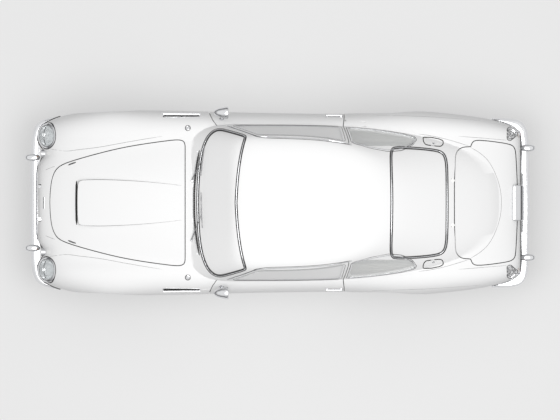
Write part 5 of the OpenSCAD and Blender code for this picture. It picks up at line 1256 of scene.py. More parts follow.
# ------------------------------------------------------------------ seats
def pad_solid(name, prof, y0, half, seat, crown=14, roll=22, pitch=0, groove=5.0, margin=46, k=7, ny=72):
    """A stuffed cushion: a closed side outline carried across the seat, rolled in at both sides and crowned,
    with sewn channels where seat(point) holds. Returns the mesh and the outlines of its two side seams."""
    P = spline([(p[0], 0, p[1]) for p in prof], k, closed=True)[:, [0, 2]]
    n = len(P)
    T = np.roll(P, -1, 0) - np.roll(P, 1, 0); T /= np.maximum(1e-9, np.linalg.norm(T, axis=1))[:, None]
    a = 0.5*np.sum(P[:, 0]*np.roll(P[:, 1], -1) - np.roll(P[:, 0], -1)*P[:, 1])
    Nn = np.stack([T[:, 1], -T[:, 0]], 1)*(1 if a > 0 else -1)
    mask = np.array([1.0 if seat(p) else 0.0 for p in P])
    for _ in range(6): mask = (np.roll(mask, 1) + 2*mask + np.roll(mask, -1))/4
    S_, ys = [], []
    inner = half - margin
    rim = [half - roll*(1 - math.cos(q)) for q in np.linspace(0, math.pi/2, 6)]
    ins = [roll*(1 - math.sin(q)) for q in np.linspace(0, math.pi/2, 6)]
    st = [(y, i) for y, i in zip(rim, ins)]
    mid = np.linspace(half - roll, -(half - roll), ny)
    st = st + [(y, 0.0) for y in mid[1:-1]] + [(-y, i) for y, i in st[::-1]]
    for y, i in st:
        c = crown*(1 - (abs(y)/half)**2.4)
        g = 0.0
        if pitch and abs(y) < inner:
            u = (y + inner) % pitch/pitch
            g = -groove*(1 - math.sin(math.pi*u)**0.55)
        elif abs(abs(y) - inner) < 6: g = -groove*0.9*(1 - abs(abs(y) - inner)/6)
        off = -i + (c + g*1.0)*mask + c*0.25*(1 - mask)
        Q = P + Nn*(np.asarray(off).reshape(-1, 1) if np.ndim(off) else off)
        S_.append([(q[0], y0 + y, q[1]) for q in Q])
    o = loft(name, S_)
    seams = []
    for idx in (4, len(st) - 5):
        y = st[idx][0]; c = crown*(1 - (abs(y)/half)**2.4)
        off = -st[idx][1] + c*mask + c*0.25*(1 - mask)
        Q = P + Nn*off.reshape(-1, 1)
        seams.append(np.array([(q[0], y0 + y, q[1]) for q in Q]))
    return o, seams

def piped(name, seams, r=3.0):
    return [tube(name, s, r, 8, closed=True, up=(0, 1, 0)) for s in seams]

def build_front_seat(s, side):
    y0 = 360*s
    cush, a = pad_solid("cush", [[150, 306], [300, 306], [311, 350], [306, 396], [278, 412], [60, 392], [-90, 384], [-150, 380], [-160, 306], [0, 300]], y0, 203,
                        lambda p: p[1] > 372 and p[0] > -110 and p[0] < 286, 12, 24, 40, 5.5, 48)
    back, b = pad_solid("back", [[-150, 340], [-134, 392], [-160, 470], [-222, 690], [-284, 890], [-300, 912], [-322, 922], [-350, 912], [-358, 870], [-300, 640], [-246, 450], [-226, 372], [-190, 335]], y0, 199,
                        lambda p: p[0] > -290 + (p[1] - 880)*-0.31 - 12 and 440 < p[1] < 868 and p[0] > -0.31*(p[1] - 440) - 200, 10, 26, 40, 5.5, 48)
    for o, nm in ((cush, "Cushion"), (back, "Backrest")):
        coloured(o, "hide"); shade(o, 50)
        put(o, f"{side}_Front_Seat_{nm}", "car", (), "hide", ("front_seats",))
    pipe = piped("p", a + b); pipe = [coloured(p, "piping") for p in pipe]
    # transverse seam of the sitting panel
    pipe.append(coloured(tube("p", spline([(268, y0 - 178, 414), (272, y0 - 90, 423), (273, y0, 426), (272, y0 + 90, 423), (268, y0 + 178, 414)], 8), 2.6, 8), "piping"))
    o = merge("pp", pipe); shade(o, 50); put(o, f"{side}_Front_Seat_Piping", "car", (), "hide", ("front_seats",))
    fr = [coloured(rbox("f", -186, 286, y0 - 190, y0 + 190, 268, 322, 14, 3), "hide")]
    for q in (-150, 150):
        fr.append(coloured(rbox("r", -190, 250, y0 + q - 14, y0 + q + 14, 238, 250, 3, 2), "steel"))
        fr.append(coloured(rbox("r", -170, 230, y0 + q - 9, y0 + q + 9, 248, 270, 3, 2), "dark_metal"))
    fr.append(coloured(tube("lv", spline([(200, y0 + 60*s, 262), (290, y0 + 60*s, 258), (306, y0 + 60*s, 262), (310, y0 + 40*s, 264)], 6), 4.5, 10), "chrome"))
    for q in (-1, 1):                                                       # the backrest's hinges
        h = lathe("h", [(0, 0), (17, 0), (19, 3), (19, 7), (16, 9), (0, 9)], 32)
        moved(h, Matrix.Translation(Vector((-198, y0 + q*196, 372))/1000) @ Matrix.Rotation(-q*math.pi/2, 4, "X")); fr.append(coloured(h, "chrome"))
    o = merge("ff", fr); shade(o, 35); put(o, f"{side}_Front_Seat_Frame", "car", (), "steel", ("front_seats",))

def build_rear_seat(s, side):
    y0 = 335*s
    cush, a = pad_solid("cush", [[-650, 342], [-572, 342], [-558, 372], [-566, 402], [-596, 414], [-700, 396], [-790, 384], [-826, 380], [-830, 342], [-740, 338]], y0, 186,
                        lambda p: p[1] > 366 and p[0] < -574 and p[0] > -806, 10, 22, 36, 5, 40)
    back, b = pad_solid("back", [[-826, 384], [-808, 412], [-816, 452], [-840, 532], [-924, 740], [-944, 758], [-966, 758], [-990, 742], [-972, 680], [-900, 520], [-864, 420], [-846, 386]], y0, 186,
                        lambda p: p[0] > -846 + (p[1] - 532)*-0.40 - 16 and 440 < p[1] < 728, 10, 22, 36, 5, 40)
    for o, nm in ((cush, "Cushion"), (back, "Backrest")):
        coloured(o, "hide"); shade(o, 50)
        put(o, f"{side}_Rear_Seat_{nm}", "car", (), "hide", ("rear_seat",))
    o = merge("pp", [coloured(p, "piping") for p in piped("p", a + b, 2.8)]); shade(o, 50)
    put(o, f"{side}_Rear_Seat_Piping", "car", (), "hide", ("rear_seat",))

for s, side in ((1, "Left"), (-1, "Right")):
    build_front_seat(s, side); build_rear_seat(s, side)

# a trimmed panel fills the seat back down to the floor between and behind the rear seats
fill = [coloured(rbox("a", -1004, -846, -600, 600, 506, 560, 16, 3), "carpet"), coloured(rbox("b", -860, -832, -560, 560, 342, 560, 10, 3), "carpet"),
        coloured(rbox("c", -836, -590, -140, 140, 336, 372, 14, 3), "carpet")]
o = merge("rf", fill); shade(o, 35); put(o, "Rear_Seat_Trim", "car", (), "dash_trim", ("rear_seat",))

# ------------------------------------------------------------------ dashboard
dp = [(862, 700), (862, 868), (780, 876), (700, 893), (600, 900), (556, 899), (534, 893), (522, 880), (518, 866), (518, 722), (524, 708), (538, 702), (562, 702), (620, 690), (700, 664), (862, 650)]
dash = loft("dash", [[(x, y, z) for x, z in dp] for y in np.linspace(-626, 626, 40)])
cut = cab_solid("dc", 38, 2, 72); fix_normals(cut)
dash = boolean(dash, cut, "INTERSECT")
coloured(dash, "dash_hide"); shade(dash, 30)
parts = [dash]
# roll along the top edge with a seam, and a lower rail
parts.append(coloured(tube("roll", spline([(524, -612, 886), (516, -300, 890), (514, 0, 891), (516, 300, 890), (524, 612, 886)], 12), 11, 14), "dash_hide"))
parts.append(coloured(tube("rail", spline([(524, -612, 712), (517, -300, 708), (516, 0, 707), (517, 300, 708), (524, 612, 712)], 12), 7, 12), "dash_hide"))
for y in np.linspace(-590, 590, 119):
    parts.append(coloured(rbox("st", 505.5, 508, y - 3, y + 3, 874.6, 876.6, 0.6, 1), "stitch"))
o = merge("dd", parts); shade(o, 32)
put(o, "Dashboard", "car", (), "dash_trim", ("dashboard",))

def face_plate():
    out = [coloured(rbox("fp", 510, 519, -600, 600, 728, 862, 4, 2), "wood")]
    return out
fascia = face_plate()
def on_fascia(o, y, z, x=510): return moved(o, Matrix.Translation(Vector((x, y, z))/1000) @ Matrix.Rotation(-math.pi/2, 4, "Y"))
def dial(y, z, r, needle, ticks, span=270):
    out = []
    out.append(coloured(on_fascia(lathe("bz", [(r, -1), (r + 5, -1), (r + 5.5, 1.5), (r + 3.5, 4.5), (r + 1, 5), (r - 1, 3), (r - 1.5, 0.5), (r, 0)], 72, closed=True), y, z), "chrome"))
    out.append(coloured(on_fascia(lathe("fc", [(0, 0.4), (r - 1, 0.4), (r - 1, -1.5), (0, -1.5)], 64), y, z), "dial"))
    for i in range(ticks + 1):
        t = rad(-span/2 + span*i/ticks); big = i % 5 == 0
        tk = box_obj("tk", -0.9 if big else -0.45, 0.9 if big else 0.45, r*(0.76 if big else 0.84), r*0.93, 0.5, 0.9)
        moved(tk, Matrix.Rotation(t, 4, "Z")); out.append(coloured(on_fascia(tk, y, z), "ivory"))
    nd = prism("nd", [[(-1.3, -r*0.2), (1.3, -r*0.2), (0.5, r*0.8), (-0.5, r*0.8)]]*2, [1.2, 1.9]); moved(nd, Matrix.Rotation(rad(needle), 4, "Z")); out.append(coloured(on_fascia(nd, y, z), "ivory"))
    out.append(coloured(on_fascia(lathe("cp", [(0, 1), (5, 1), (5, 2.2), (3.5, 3.4), (0, 3.6)], 24), y, z), "black"))
    return out
for y, z, r, nd, tk in ((-432, 800, 50, 110, 40), (-288, 800, 50, 120, 32), (-150, 812, 26, 20, 10), (-75, 812, 26, -30, 10), (75, 812, 26, 35, 10), (0, 812, 26, 10, 12), (150, 812, 26, -15, 10)):
    fascia += dial(y, z, r, nd, tk)
for i in range(7):                                                          # switches below the small dials
    y = -135 + 45*i
    k = lathe("kn", [(0, 0), (8, 0), (8, 2), (4, 4), (4, 9), (8, 11), (9.5, 15), (8, 19), (0, 20)], 28)
    fascia.append(coloured(on_fascia(k, y, 752), "black" if i % 2 else "chrome"))
g = rbox("gl", 507.5, 510.5, 226, 572, 742, 852, 6, 3); fascia.append(coloured(g, "wood"))
fascia.append(coloured(tube("ge", [(507.6, 226, 742), (507.6, 572, 742), (507.6, 572, 852), (507.6, 226, 852)], 1.5, 8, closed=True, up=(1, 0, 0)), "chrome"))
fascia.append(coloured(on_fascia(lathe("gk", [(0, 0), (12, 0), (13, 2), (11, 5), (7, 7), (0, 8)], 32), 400, 830, 507.5), "chrome"))
o = merge("Fascia", fascia); shade(o, 30)
put(o, "Instrument_Panel", "car", (), "dash_trim", ("dashboard",))

# ------------------------------------------------------------------ steering wheel
SW = Matrix.Translation(Vector((330, -360, 800))/1000) @ Matrix.Rotation(rad(-62), 4, "Y")
def sw_pts(r, n): return [(r*math.cos(2*math.pi*i/n), r*math.sin(2*math.pi*i/n), 0) for i in range(n)]
P = np.array(sw_pts(194, 180))
sec = circle_pts(11.5, 20)
sc = [(1 + 0.05*math.cos(2*math.pi*i/180*36), 1) for i in range(180)]       # finger grips
rim = sweep("rim", P, sec, (0, 0, 1), closed=True, scale=sc); coloured(rim, "rim_wood"); shade(rim, 50); moved(rim, SW)
put(rim, "Steering_Wheel_Rim", "steering_wheel", (), "wood_rim", ("steering_wheel",))
sp = []
for a in (90, 210, 330):
    q = Matrix.Rotation(rad(a), 4, "Z")
    W_ = [(28, 15), (60, 12.5), (110, 11), (150, 12), (176, 17), (186, 24)]
    blade_ = prism("bl", [[(x, w) for x, w in W_] + [(x, -w) for x, w in W_[::-1]]]*2, [-2.2, 2.2])
    for k, x in enumerate((58, 82, 106, 130, 153)):                         # lightening holes, growing outwards
        h = cyl_obj("hh", (x, 0, 0), (0, 0, 1), 5.4 + k*0.35, -6, 6, 24); boolean(blade_, h, "DIFFERENCE")
    moved(blade_, q); sp.append(coloured(blade_, "polished"))
sp.append(coloured(lathe("hb", [(0, -20), (34, -20), (37, -16), (38, -6), (36, 3), (31, 6), (27, 6.5), (0, 6.5)], 72), "black"))
sp.append(coloured(lathe("hr", [(24, 6), (28, 6), (29, 8), (27, 10.5), (24.5, 9.5)], 64, closed=True), "polished"))
sp.append(coloured(lathe("horn", [(0, 5), (24.6, 5), (24.6, 7.4), (19, 11.2), (10, 13.6), (0, 14.2)], 64), "black"))
for i in range(6):
    b = lathe("bo", [(0, 5), (3.2, 5), (3.2, 7.6), (0, 8.4)], 12); moved(b, Matrix.Translation(Vector((33.2*math.cos(rad(60*i + 30)), 33.2*math.sin(rad(60*i + 30)), 0))/1000)); sp.append(coloured(b, "polished"))
sp.append(coloured(lathe("col", [(0, -250), (15, -250), (15.5, -246), (15.5, -60), (20, -52), (22, -30), (22, -19), (0, -19)], 40), "black"))
o = merge("spk", sp); shade(o, 32); moved(o, SW)
put(o, "Steering_Wheel_Spokes", "steering_wheel", (), "steel", ("steering_wheel",))

# ------------------------------------------------------------------ rubber, small fittings, and grey and dark strips on the skin that are painted shade of its creases and gaps
def loop(name, outline, w, h, m, tree=None, lift=0.0):
    pts = [on_top(x, y, tree) for x, y in outline]; pts = [t for t in pts if t]
    P = np.array([t[0] for t in pts]); U = np.array([t[1] for t in pts])
    for _ in range(2):
        U = np.roll(U, 1, 0) + 2*U + np.roll(U, -1, 0); U /= np.linalg.norm(U, axis=1)[:, None]
    P = P + U*lift
    return coloured(sweep(name, P, [(-w/2, -1.2), (-w/2, 0), (-w/4, h*0.9), (0, h), (w/4, h*0.9), (w/2, 0), (w/2, -1.2)], U, closed=True), m)
def flip_y(P): return [(p[0], -p[1]) for p in P]
def thin(name, pts, w, h, m, body="car", tree=None, both_sides=True, side=None, k=8):
    out = []
    if side is None:
        for P in ([pts, flip_y(pts)] if both_sides else [pts]): out.append(coloured(strip(name, P, w, h, tree=tree, k=k), m))
    else: out.append(coloured(strip(name, pts, w, h, k=k, side=side), m))
    return out

rub = []
rub.append(loop("a", grow(round_both(SCREEN, 6), 3.0), 7, 2.4, "seal")); rub.append(loop("b", grow(round_both(SCREEN, 6), -17.0), 5, 1.6, "seal"))
rub.append(loop("c", grow(round_both(BACKLIGHT, 6), 3.0), 7, 2.4, "seal")); rub.append(loop("d", grow(round_both(BACKLIGHT, 6), -17.0), 5, 1.6, "seal"))
o = merge("rub", rub); shade(o, 40); put(o, "Screen_Rubbers", "car", (), "dark_metal")

# air intake at the foot of the windscreen: a dark mesh let in between two fine rails
cowl = [(705, -470), (730, -330), (749, -150), (752, 0), (749, 150), (730, 330), (705, 470)]
c = thin("cw", [(x + 14, y) for x, y in cowl], 26, 1.2, "black", both_sides=False)
c += thin("cr", [(x + 29, y) for x, y in cowl], 4, 3.0, "chrome", both_sides=False)
for y in np.linspace(-430, 430, 44):
    i = np.interp(abs(y), [0, 150, 330, 470], [752, 749, 730, 705]); t = on_top(i + 14, y)
    q = Vector(t[1]).to_track_quat("Z", "Y").to_matrix().to_4x4()
    b = rbox("s", -1.6, 1.6, -11, 11, 0.2, 2.6, 0.6, 1); c.append(coloured(moved(b, Matrix.Translation(Vector(t[0])/1000) @ q), "dark_metal"))
o = merge("cowl", c); shade(o, 35); put(o, "Cowl_Vent", "car", (), "dark_metal")

# rain gutters over the side windows, with the dark sealant behind them
for s, nm in ((1, "Left"), (-1, "Right")):
    gut = [(470, 924), (338, 1088), (240, 1212), (206, 1242), (150, 1254), (60, 1260), (-200, 1264), (-420, 1258), (-560, 1248), (-640, 1236)]
    g = thin("g", gut, 9, 6.0, "chrome", side=s) + thin("h", [(x + (4 if x > 230 else 0), z + 8) for x, z in gut], 5, 2.0, "seal", side=s)
    belt = [(404, 913), (200, 915), (-100, 914), (-400, 912), (-520, 910)]
    o = merge("gut", g); shade(o, 40); put(o, nm + "_Rain_Gutter", "car", (), "chrome")
    b = thin("bt", belt, 6, 3.0, "seal", side=s); o = merge("bt", b); shade(o, 40); put(o, nm + "_Door_Belt_Seal", nm.lower() + "_door", (), "dark_metal")

# grey strips laid along the body's creases, their grey painted shade of the creases
L = []
for P in ([(2053, -480), (1915, -462), (1785, -476), (1607, -498), (1330, -548), (1053, -594)], [(2093, -293), (2046, -313), (1999, -329)],
          [(-1593, -594), (-1800, -578), (-2023, -559)], [(-821, -784), (-1143, -775), (-1357, -766), (-1785, -735)],
          [(-1235, -613), (-1348, -598), (-1491, -566), (-1689, -506)]):
    L += thin("cr", P, 4.2, 0.9, "line")
o = merge("creases", L); shade(o, 40); put(o, "Body_Crease_Shade_Lines", "car", (), "white_paint")
L = thin("cr", [(-1695, 499), (-1790, 439), (-1863, 368), (-1922, 260), (-1964, 129), (-1976, 0), (-1964, -129), (-1922, -260), (-1863, -368), (-1790, -439), (-1695, -499)], 4.2, 0.9, "line", both_sides=False)
o = merge("bc", L); shade(o, 40); put(o, "Boot_Crease_Shade_Line", "boot_lid", (), "white_paint")

BON_TREE = tree_of(bpy.data.objects["Bonnet"])
# grey strips along the scoop's sides are painted shade of its edges; the dark strip across the scoop's front is painted
# shade of its mouth
sc_lines = thin("sl", [(1806, -195), (1607, -207), (1250, -191), (879, -155)], 4.2, 1.0, "line", tree=BON_TREE)
sc_lines += thin("sm", [(1815, -196), (1817, -100), (1818, 0), (1817, 100), (1815, 196)], 20, 1.6, "seal", tree=BON_TREE, both_sides=False)
sc_lines += thin("hc", [(1892, -336), (1856, -350), (1821, -362)], 13, 3.4, "seal", tree=BON_TREE)
sc_lines += thin("hd", [(1884, -338), (1856, -349), (1829, -359)], 4.5, 5.0, "chrome", tree=BON_TREE)
o = merge("sc_lines", sc_lines); shade(o, 40); put(o, "Bonnet_Fittings", "bonnet", (), "chrome")

# dark strips just under the skin in the gaps round the lids and doors: painted shade that makes the shut lines dark
def put_gap(name, objs):
    o = merge(name, objs); shade(o, 40); put(o, name, "car", (), "dark_metal")
put_gap("Bonnet_Shut_Line_Shade", [loop("g", grow(round_both(BONNET, 10), 4.3), 6.0, 0.8, "seal", lift=-2.2)])
put_gap("Boot_Shut_Line_Shade", [loop("g", grow(round_both(BOOT, 10), 4.3), 6.0, 0.8, "seal", lift=-2.2)])
def door_line(s, g, w, h, lift):
    R = door_ring(g, 800); P, U = [], []
    for k in range(len(R)):
        z = R[k][1]
        if z < 285: break
        Y = 800
        for _ in range(4):
            x = door_ring(g, Y)[k][0]; t = on_side(x, z, s)
            if t is None: break
            Y = abs(t[0][1])
        if t is None: continue
        P.append(t[0]); U.append(t[1])
    P, U = np.array(P), np.array(U)
    keep = np.concatenate([[True], np.linalg.norm(np.diff(P, axis=0), axis=1) > 2.0]); P, U = P[keep], U[keep]
    for _ in range(2): U[1:-1] = U[:-2] + 2*U[1:-1] + U[2:]; U /= np.linalg.norm(U, axis=1)[:, None]
    return coloured(sweep("dl", P + U*lift, [(-w/2, -1.2), (-w/2, 0), (0, h), (w/2, 0), (w/2, -1.2)], U), "seal")
for s, nm in ((1, "Left"), (-1, "Right")): put_gap(nm + "_Door_Shut_Line_Shade", [door_line(s, 3.6, 4.6, 0.8, -3.0)])

# small things: screen washers, a nose plaque left blank, filler necks, the rear plate left blank
bits = []
for s in (1, -1):
    t = on_top(823, 668*s); q = Vector(t[1]).to_track_quat("Z", "Y").to_matrix().to_4x4(); X = Matrix.Translation(Vector(t[0])/1000) @ q
    bits.append(coloured(shade(lathe("w", [(0, -2), (21, -2), (22, 0), (20, 3.2), (16.5, 4.2), (15, 3.4), (14.5, 2.6), (0, 2.8)], 48, X), 30), "chrome"))
    bits.append(coloured(shade(lathe("w2", [(16, 2.9), (14.4, 2.9), (14.4, 3.2), (16, 3.2)], 48, X, closed=True), 30), "seal"))
    bits.append(coloured(shade(lathe("w0", [(20, -2), (25.5, -2), (25.5, 0.6), (24, 1.6), (20, 1.6)], 48, X, closed=True), 30), "seal"))
    hood = thin("hd", [(2050, 440*s), (2122, 440*s)], 72, 1.0, "paint", both_sides=False); bits += hood
    bits.append(coloured(shade(lathe("w3", [(0, 2), (5, 2), (5.4, 6), (3.6, 8), (0, 8.4)], 24, X), 30), "chrome"))
    arc = [(32.6*math.cos(q), 32.6*math.sin(q)) for q in np.linspace(rad(8), rad(172), 24)] + [(35.4*math.cos(q), 35.4*math.sin(q)) for q in np.linspace(rad(172), rad(8), 24)]
    bits.append(coloured(shade(loft("peak", [[(x, 440*s + a, 585 + b) for a, b in arc] for x in (2070, 2122, 2132)]), 35), "chrome"))
    cp = thin("cv", [(-1528, 200*s), (-1560, 200*s)], 44, 1.0, "paint", both_sides=False)
    bits += cp
h = on_top(2107, 0); q = Vector(h[1]).to_track_quat("Z", "Y").to_matrix().to_4x4(); X = Matrix.Translation(Vector(h[0])/1000) @ q
n_ = rbox("badge", -52, 52, -8, 8, -2, 4.2, 2.4, 3); bits.append(coloured(shade(moved(n_, X), 30), "chrome"))
n_ = rbox("badge2", -48, 48, -5.2, 5.2, 4.0, 4.8, 0.5, 1); bits.append(coloured(shade(moved(n_, X), 30), "line"))
o = merge("bits", bits); put(o, "Body_Fittings", "car", (), "chrome")

def rear_hit(y, z):
    r = SKIN_TREE.ray_cast(Vector((-3, y/1000, z/1000)), Vector((1, 0, 0))); return np.array(r[0])*1000
a, b = rear_hit(0, 560), rear_hit(0, 670)
pl = rbox("plate", -262, 262, -57, 57, 0, 3.2, 1.2, 2); rimp = tube("pr", [(-262, -57, 3), (262, -57, 3), (262, 57, 3), (-262, 57, 3)], 2.2, 8, closed=True)
e1 = Vector((0, -1, 0)); e2 = Vector((b - a)).normalized(); e3 = e1.cross(e2)
if e3.x > 0: e1, e3 = -e1, -e3
Q = Matrix.Identity(4)
for i, e_ in enumerate((e1, e2, e3)):
    for k in range(3): Q[k][i] = e_[k]
far = min(rear_hit(y, z)[0] - a[0] for y in (-255, 255, 0) for z in (560, 670))
Q.translation = Vector((a + b)/2/1000) + e3*0.006
pp = [coloured(pl, "inner_paint"), coloured(rimp, "chrome")]
for y in (-200, 200): pp.append(coloured(lathe("bo", [(0, 2), (6, 2), (6, 4.5), (4, 6), (0, 6.4)], 20, Matrix.Translation((y/1000, 0, 0))), "steel"))
o = merge("plate", pp); shade(o, 30); moved(o, Q); put(o, "Rear_Plate_Blank", "car", (), "chrome")

# filler neck and cap under each flap
for s, nm in ((1, "Left"), (-1, "Right")):
    t = on_top(-1366, 545*s); zt = t[0][2]
    qd = Vector(t[1]).to_track_quat("Z", "Y").to_matrix().to_4x4(); X = Matrix.Translation(Vector(t[0])/1000) @ qd
    f = [coloured(lathe("cup", [(0, -78), (27, -78), (29, -74), (29, -26), (27.4, -26), (27.4, -72), (0, -74)], 48, X), "black"),
         coloured(lathe("cap", [(0, -60), (21, -60), (23, -56), (23, -48), (21, -45), (14, -43.5), (0, -43)], 48, X), "chrome"),
         coloured(moved(rbox("bar", -20, 20, -3.4, 3.4, -44, -34, 2.4, 2), X), "chrome")]
    o = merge("fill", f); shade(o, 30); put(o, nm + "_Fuel_Filler", "car", (), "dark_metal")

# ------------------------------------------------------------------ cabin fittings
cab = []
boot_ = lathe("gaiter", [(0, 0), (58, 0), (56, 5), (44, 12), (47, 18), (34, 26), (37, 32), (24, 40), (26, 46), (13, 54), (9, 60), (0, 62)], 48, Matrix.Translation((0.30, 0.0, 0.428))); cab.append(coloured(shade(boot_, 40), "black"))
cab.append(coloured(shade(tube("lever", spline([(300, 0, 470), (290, 0, 560), (268, 0, 640)], 8), 6, 14, up=(0, 1, 0)), 40), "chrome"))
cab.append(coloured(shade(lathe("knob", [(0, -2), (8, -2), (12, 4), (20, 14), (23, 24), (21, 34), (14, 41), (0, 44)], 40, Matrix.Translation((0.268, 0, 0.636)) @ Matrix.Rotation(rad(-12), 4, "Y")), 40), "rim_wood"))
cab.append(coloured(shade(tube("brake", spline([(60, -118, 436), (120, -119, 446), (250, -120, 500), (300, -120, 522)], 8), 6, 12, up=(0, 1, 0)), 40), "chrome"))
cab.append(coloured(shade(tube("grip", spline([(215, -120, 484), (260, -120, 504), (305, -120, 524)], 6), 12, 16, up=(0, 1, 0)), 40), "black"))
for s in (1, -1):                                                           # sun visors
    cab.append(coloured(shade(rbox("visor", 116, 236, 120*s - 30 if s > 0 else -400, 400 if s > 0 else -90, 1186, 1198, 5, 3), 35), "lining"))
cab.append(coloured(shade(rbox("mirror", 236, 246, -92, 92, 1096, 1140, 4, 3), 35), "chrome")); cab.append(coloured(shade(tube("mstem", spline([(246, 0, 1120), (262, 0, 1150), (270, 0, 1192)], 6), 5, 10, up=(0, 1, 0)), 40), "chrome"))
for y in (-300, -380, -450):                                                # pedals
    cab.append(coloured(shade(rbox("pedal", 742, 750, y - 26, y + 26, 330, 392, 5, 3), 35), "black"))
    cab.append(coloured(shade(tube("pl", spline([(750, y, 370), (790, y, 480), (800, y, 600)], 6), 6, 10, up=(0, 1, 0)), 40), "dark_metal"))
o = merge("cab", cab); put(o, "Cabin_Controls", "car", (), "dash_trim")

for s, side in ((1, "left"), (-1, "right")):                                # door cards, ridged and stitched, with pulls and winders
    y = 660
    outl = soften([[496, 330], [496, 640], [470, 860], [-430, 872], [-452, 640], [-440, 330]], 30, 5)
    cd = []
    c0 = prism("card", [outl, outl], [y - 1, y + 7], "y"); cd.append(coloured(c0, "hide"))
    for k in range(9):
        z = 400 + k*44
        cd.append(coloured(tube("rib", [(-400, y - 1.5, z), (-200, y - 2.5, z), (100, y - 2.5, z), (440, y - 1.5, z)], 4.2, 8), "hide"))
    cd.append(coloured(tube("pipe", [(x, y - 1.5, z) for x, z in outl], 3.0, 8, closed=True, up=(0, 1, 0)), "piping"))
    arm = rbox("arm", -300, 120, y - 46, y + 2, 640, 672, 14, 4); cd.append(coloured(arm, "hide"))
    cd.append(coloured(tube("pull", spline([(150, y, 690), (156, y - 24, 694), (200, y - 30, 700), (246, y - 24, 706), (252, y, 710)], 6), 6, 12), "chrome"))
    win = lathe("win", [(0, 0), (20, 0), (22, 3), (18, 8), (9, 12), (0, 13)], 32, Matrix.Translation((0.33, (y - 1)/1000, 0.56)) @ Matrix.Rotation(math.pi/2, 4, "X")); cd.append(coloured(win, "chrome"))
    cd.append(coloured(tube("wa", spline([(330, y - 11, 560), (300, y - 15, 530), (272, y - 20, 504)], 6), 5, 10), "chrome")); cd.append(coloured(tube("wk", [(272, y - 14, 504), (272, y - 38, 504)], 8, 14, up=(0, 0, 1)), "black"))
    cd.append(coloured(tube("lt", spline([(420, y - 10, 700), (390, y - 16, 704), (352, y - 18, 706)], 6), 5.5, 10), "chrome"))
    o = merge("card", cd); shade(o, 35)
    if s < 0: moved(o, MIRROR)
    put(o, side.title() + "_Door_Card", side + "_door", (), "hide")

# rubber round the side glass, pale trim over the wheel housings, and the tops of the tail lamps
def side_loop(name, outline, w, h, m, s):
    pts = [on_side(x, z, s) for x, z in outline]; pts = [t for t in pts if t is not None]
    P = np.array([t[0] for t in pts]); U = np.array([t[1] for t in pts])
    for _ in range(2): U = np.roll(U, 1, 0) + 2*U + np.roll(U, -1, 0); U /= np.linalg.norm(U, axis=1)[:, None]
    return coloured(sweep(name, P, [(-w/2, -1.2), (-w/2, 0), (0, h), (w/2, 0), (w/2, -1.2)], U, closed=True), m)
for s, nm in ((1, "Left"), (-1, "Right")):
    o = merge("ql", [side_loop("q", grow(dense(QUARTER_S), 5), 5, 1.6, "seal", s)]); shade(o, 40); put(o, nm + "_Quarter_Rubber", "car", (), "dark_metal")
    o = merge("wl", [side_loop("q", grow(dense(WINDOW_S), 12), 4, 1.4, "seal", s)]); shade(o, 40); put(o, nm + "_Door_Window_Rubber", nm.lower() + "_door", (), "dark_metal")
    y0, y1 = sorted((540*s, 700*s)); o = rbox("st", -1185, -600, y0, y1, 742, 768, 11, 4); shade(o, 40); put(o, nm + "_Rear_Side_Trim", "car", "hide", "hide")
    tri = soften([[-2026, 566*s], [-2026, 662*s], [-2056, 680*s], [-2122, 622*s], [-2122, 606*s], [-2056, 552*s]], 14, 4)
    c = tri.mean(axis=0); parts = []
    for k, w, h, m in ((1.0, 6, 3.0, "seal"), (0.86, 7, 5.0, "chrome"), (0.72, 4, 3.0, "seal"), (0.56, 7, 5.0, "chrome"), (0.40, 4, 3.0, "seal"), (0.22, 9, 5.0, "chrome")):
        parts.append(loop("t", dense(c + (tri - c)*k), w, h, m))
    o = merge("tl", parts); shade(o, 40); put(o, nm + "_Tail_Lamp_Cap", "car", (), "chrome")

# rubber round each headlamp and the raised rib down the middle of its glass
for s, nm in ((1, "Left"), (-1, "Right")):
    X = at_lamp_matrix(s); ax = (X.to_3x3() @ Vector((0, 0, 1))).normalized()
    P, U = [], []
    for i in range(96):
        t = 2*math.pi*i/96; p = X @ Vector((0.1175*math.cos(t), 0.1175*math.sin(t), 0))
        h = SKIN_TREE.ray_cast(p + ax*0.15, -ax)
        if h[0] is None: continue
        P.append(np.array(h[0])*1000); U.append(np.array(h[1] if h[1].dot(ax) > 0 else -h[1]))
    parts = []
    if len(P) > 60:
        parts.append(coloured(sweep("lr", np.array(P), [(-3.4, -2), (-3.4, 0.6), (-1.5, 2.2), (1.5, 2.2), (3.4, 0.6), (3.4, -2)], np.array(U), closed=True), "seal"))
    G = tree_of(bpy.data.objects[nm + "_Headlamp_Glass"]); R = []
    for v in np.linspace(-0.86, 0.86, 25):
        p = X @ Vector((0.012*(1 - v*v), 0.092*v, 0)); h = G.ray_cast(p + ax*0.2, -ax)
        if h[0] is not None: R.append(np.array(h[0])*1000 + np.array(ax)*0.4)
    if len(R) > 6: parts.append(coloured(tube("rib", np.array(R), 2.4, 8, up=tuple(ax)), "seal"))
    o = merge("lamp_ring", parts); shade(o, 40); put(o, nm + "_Headlamp_Rubber", "car", (), "dark_metal")

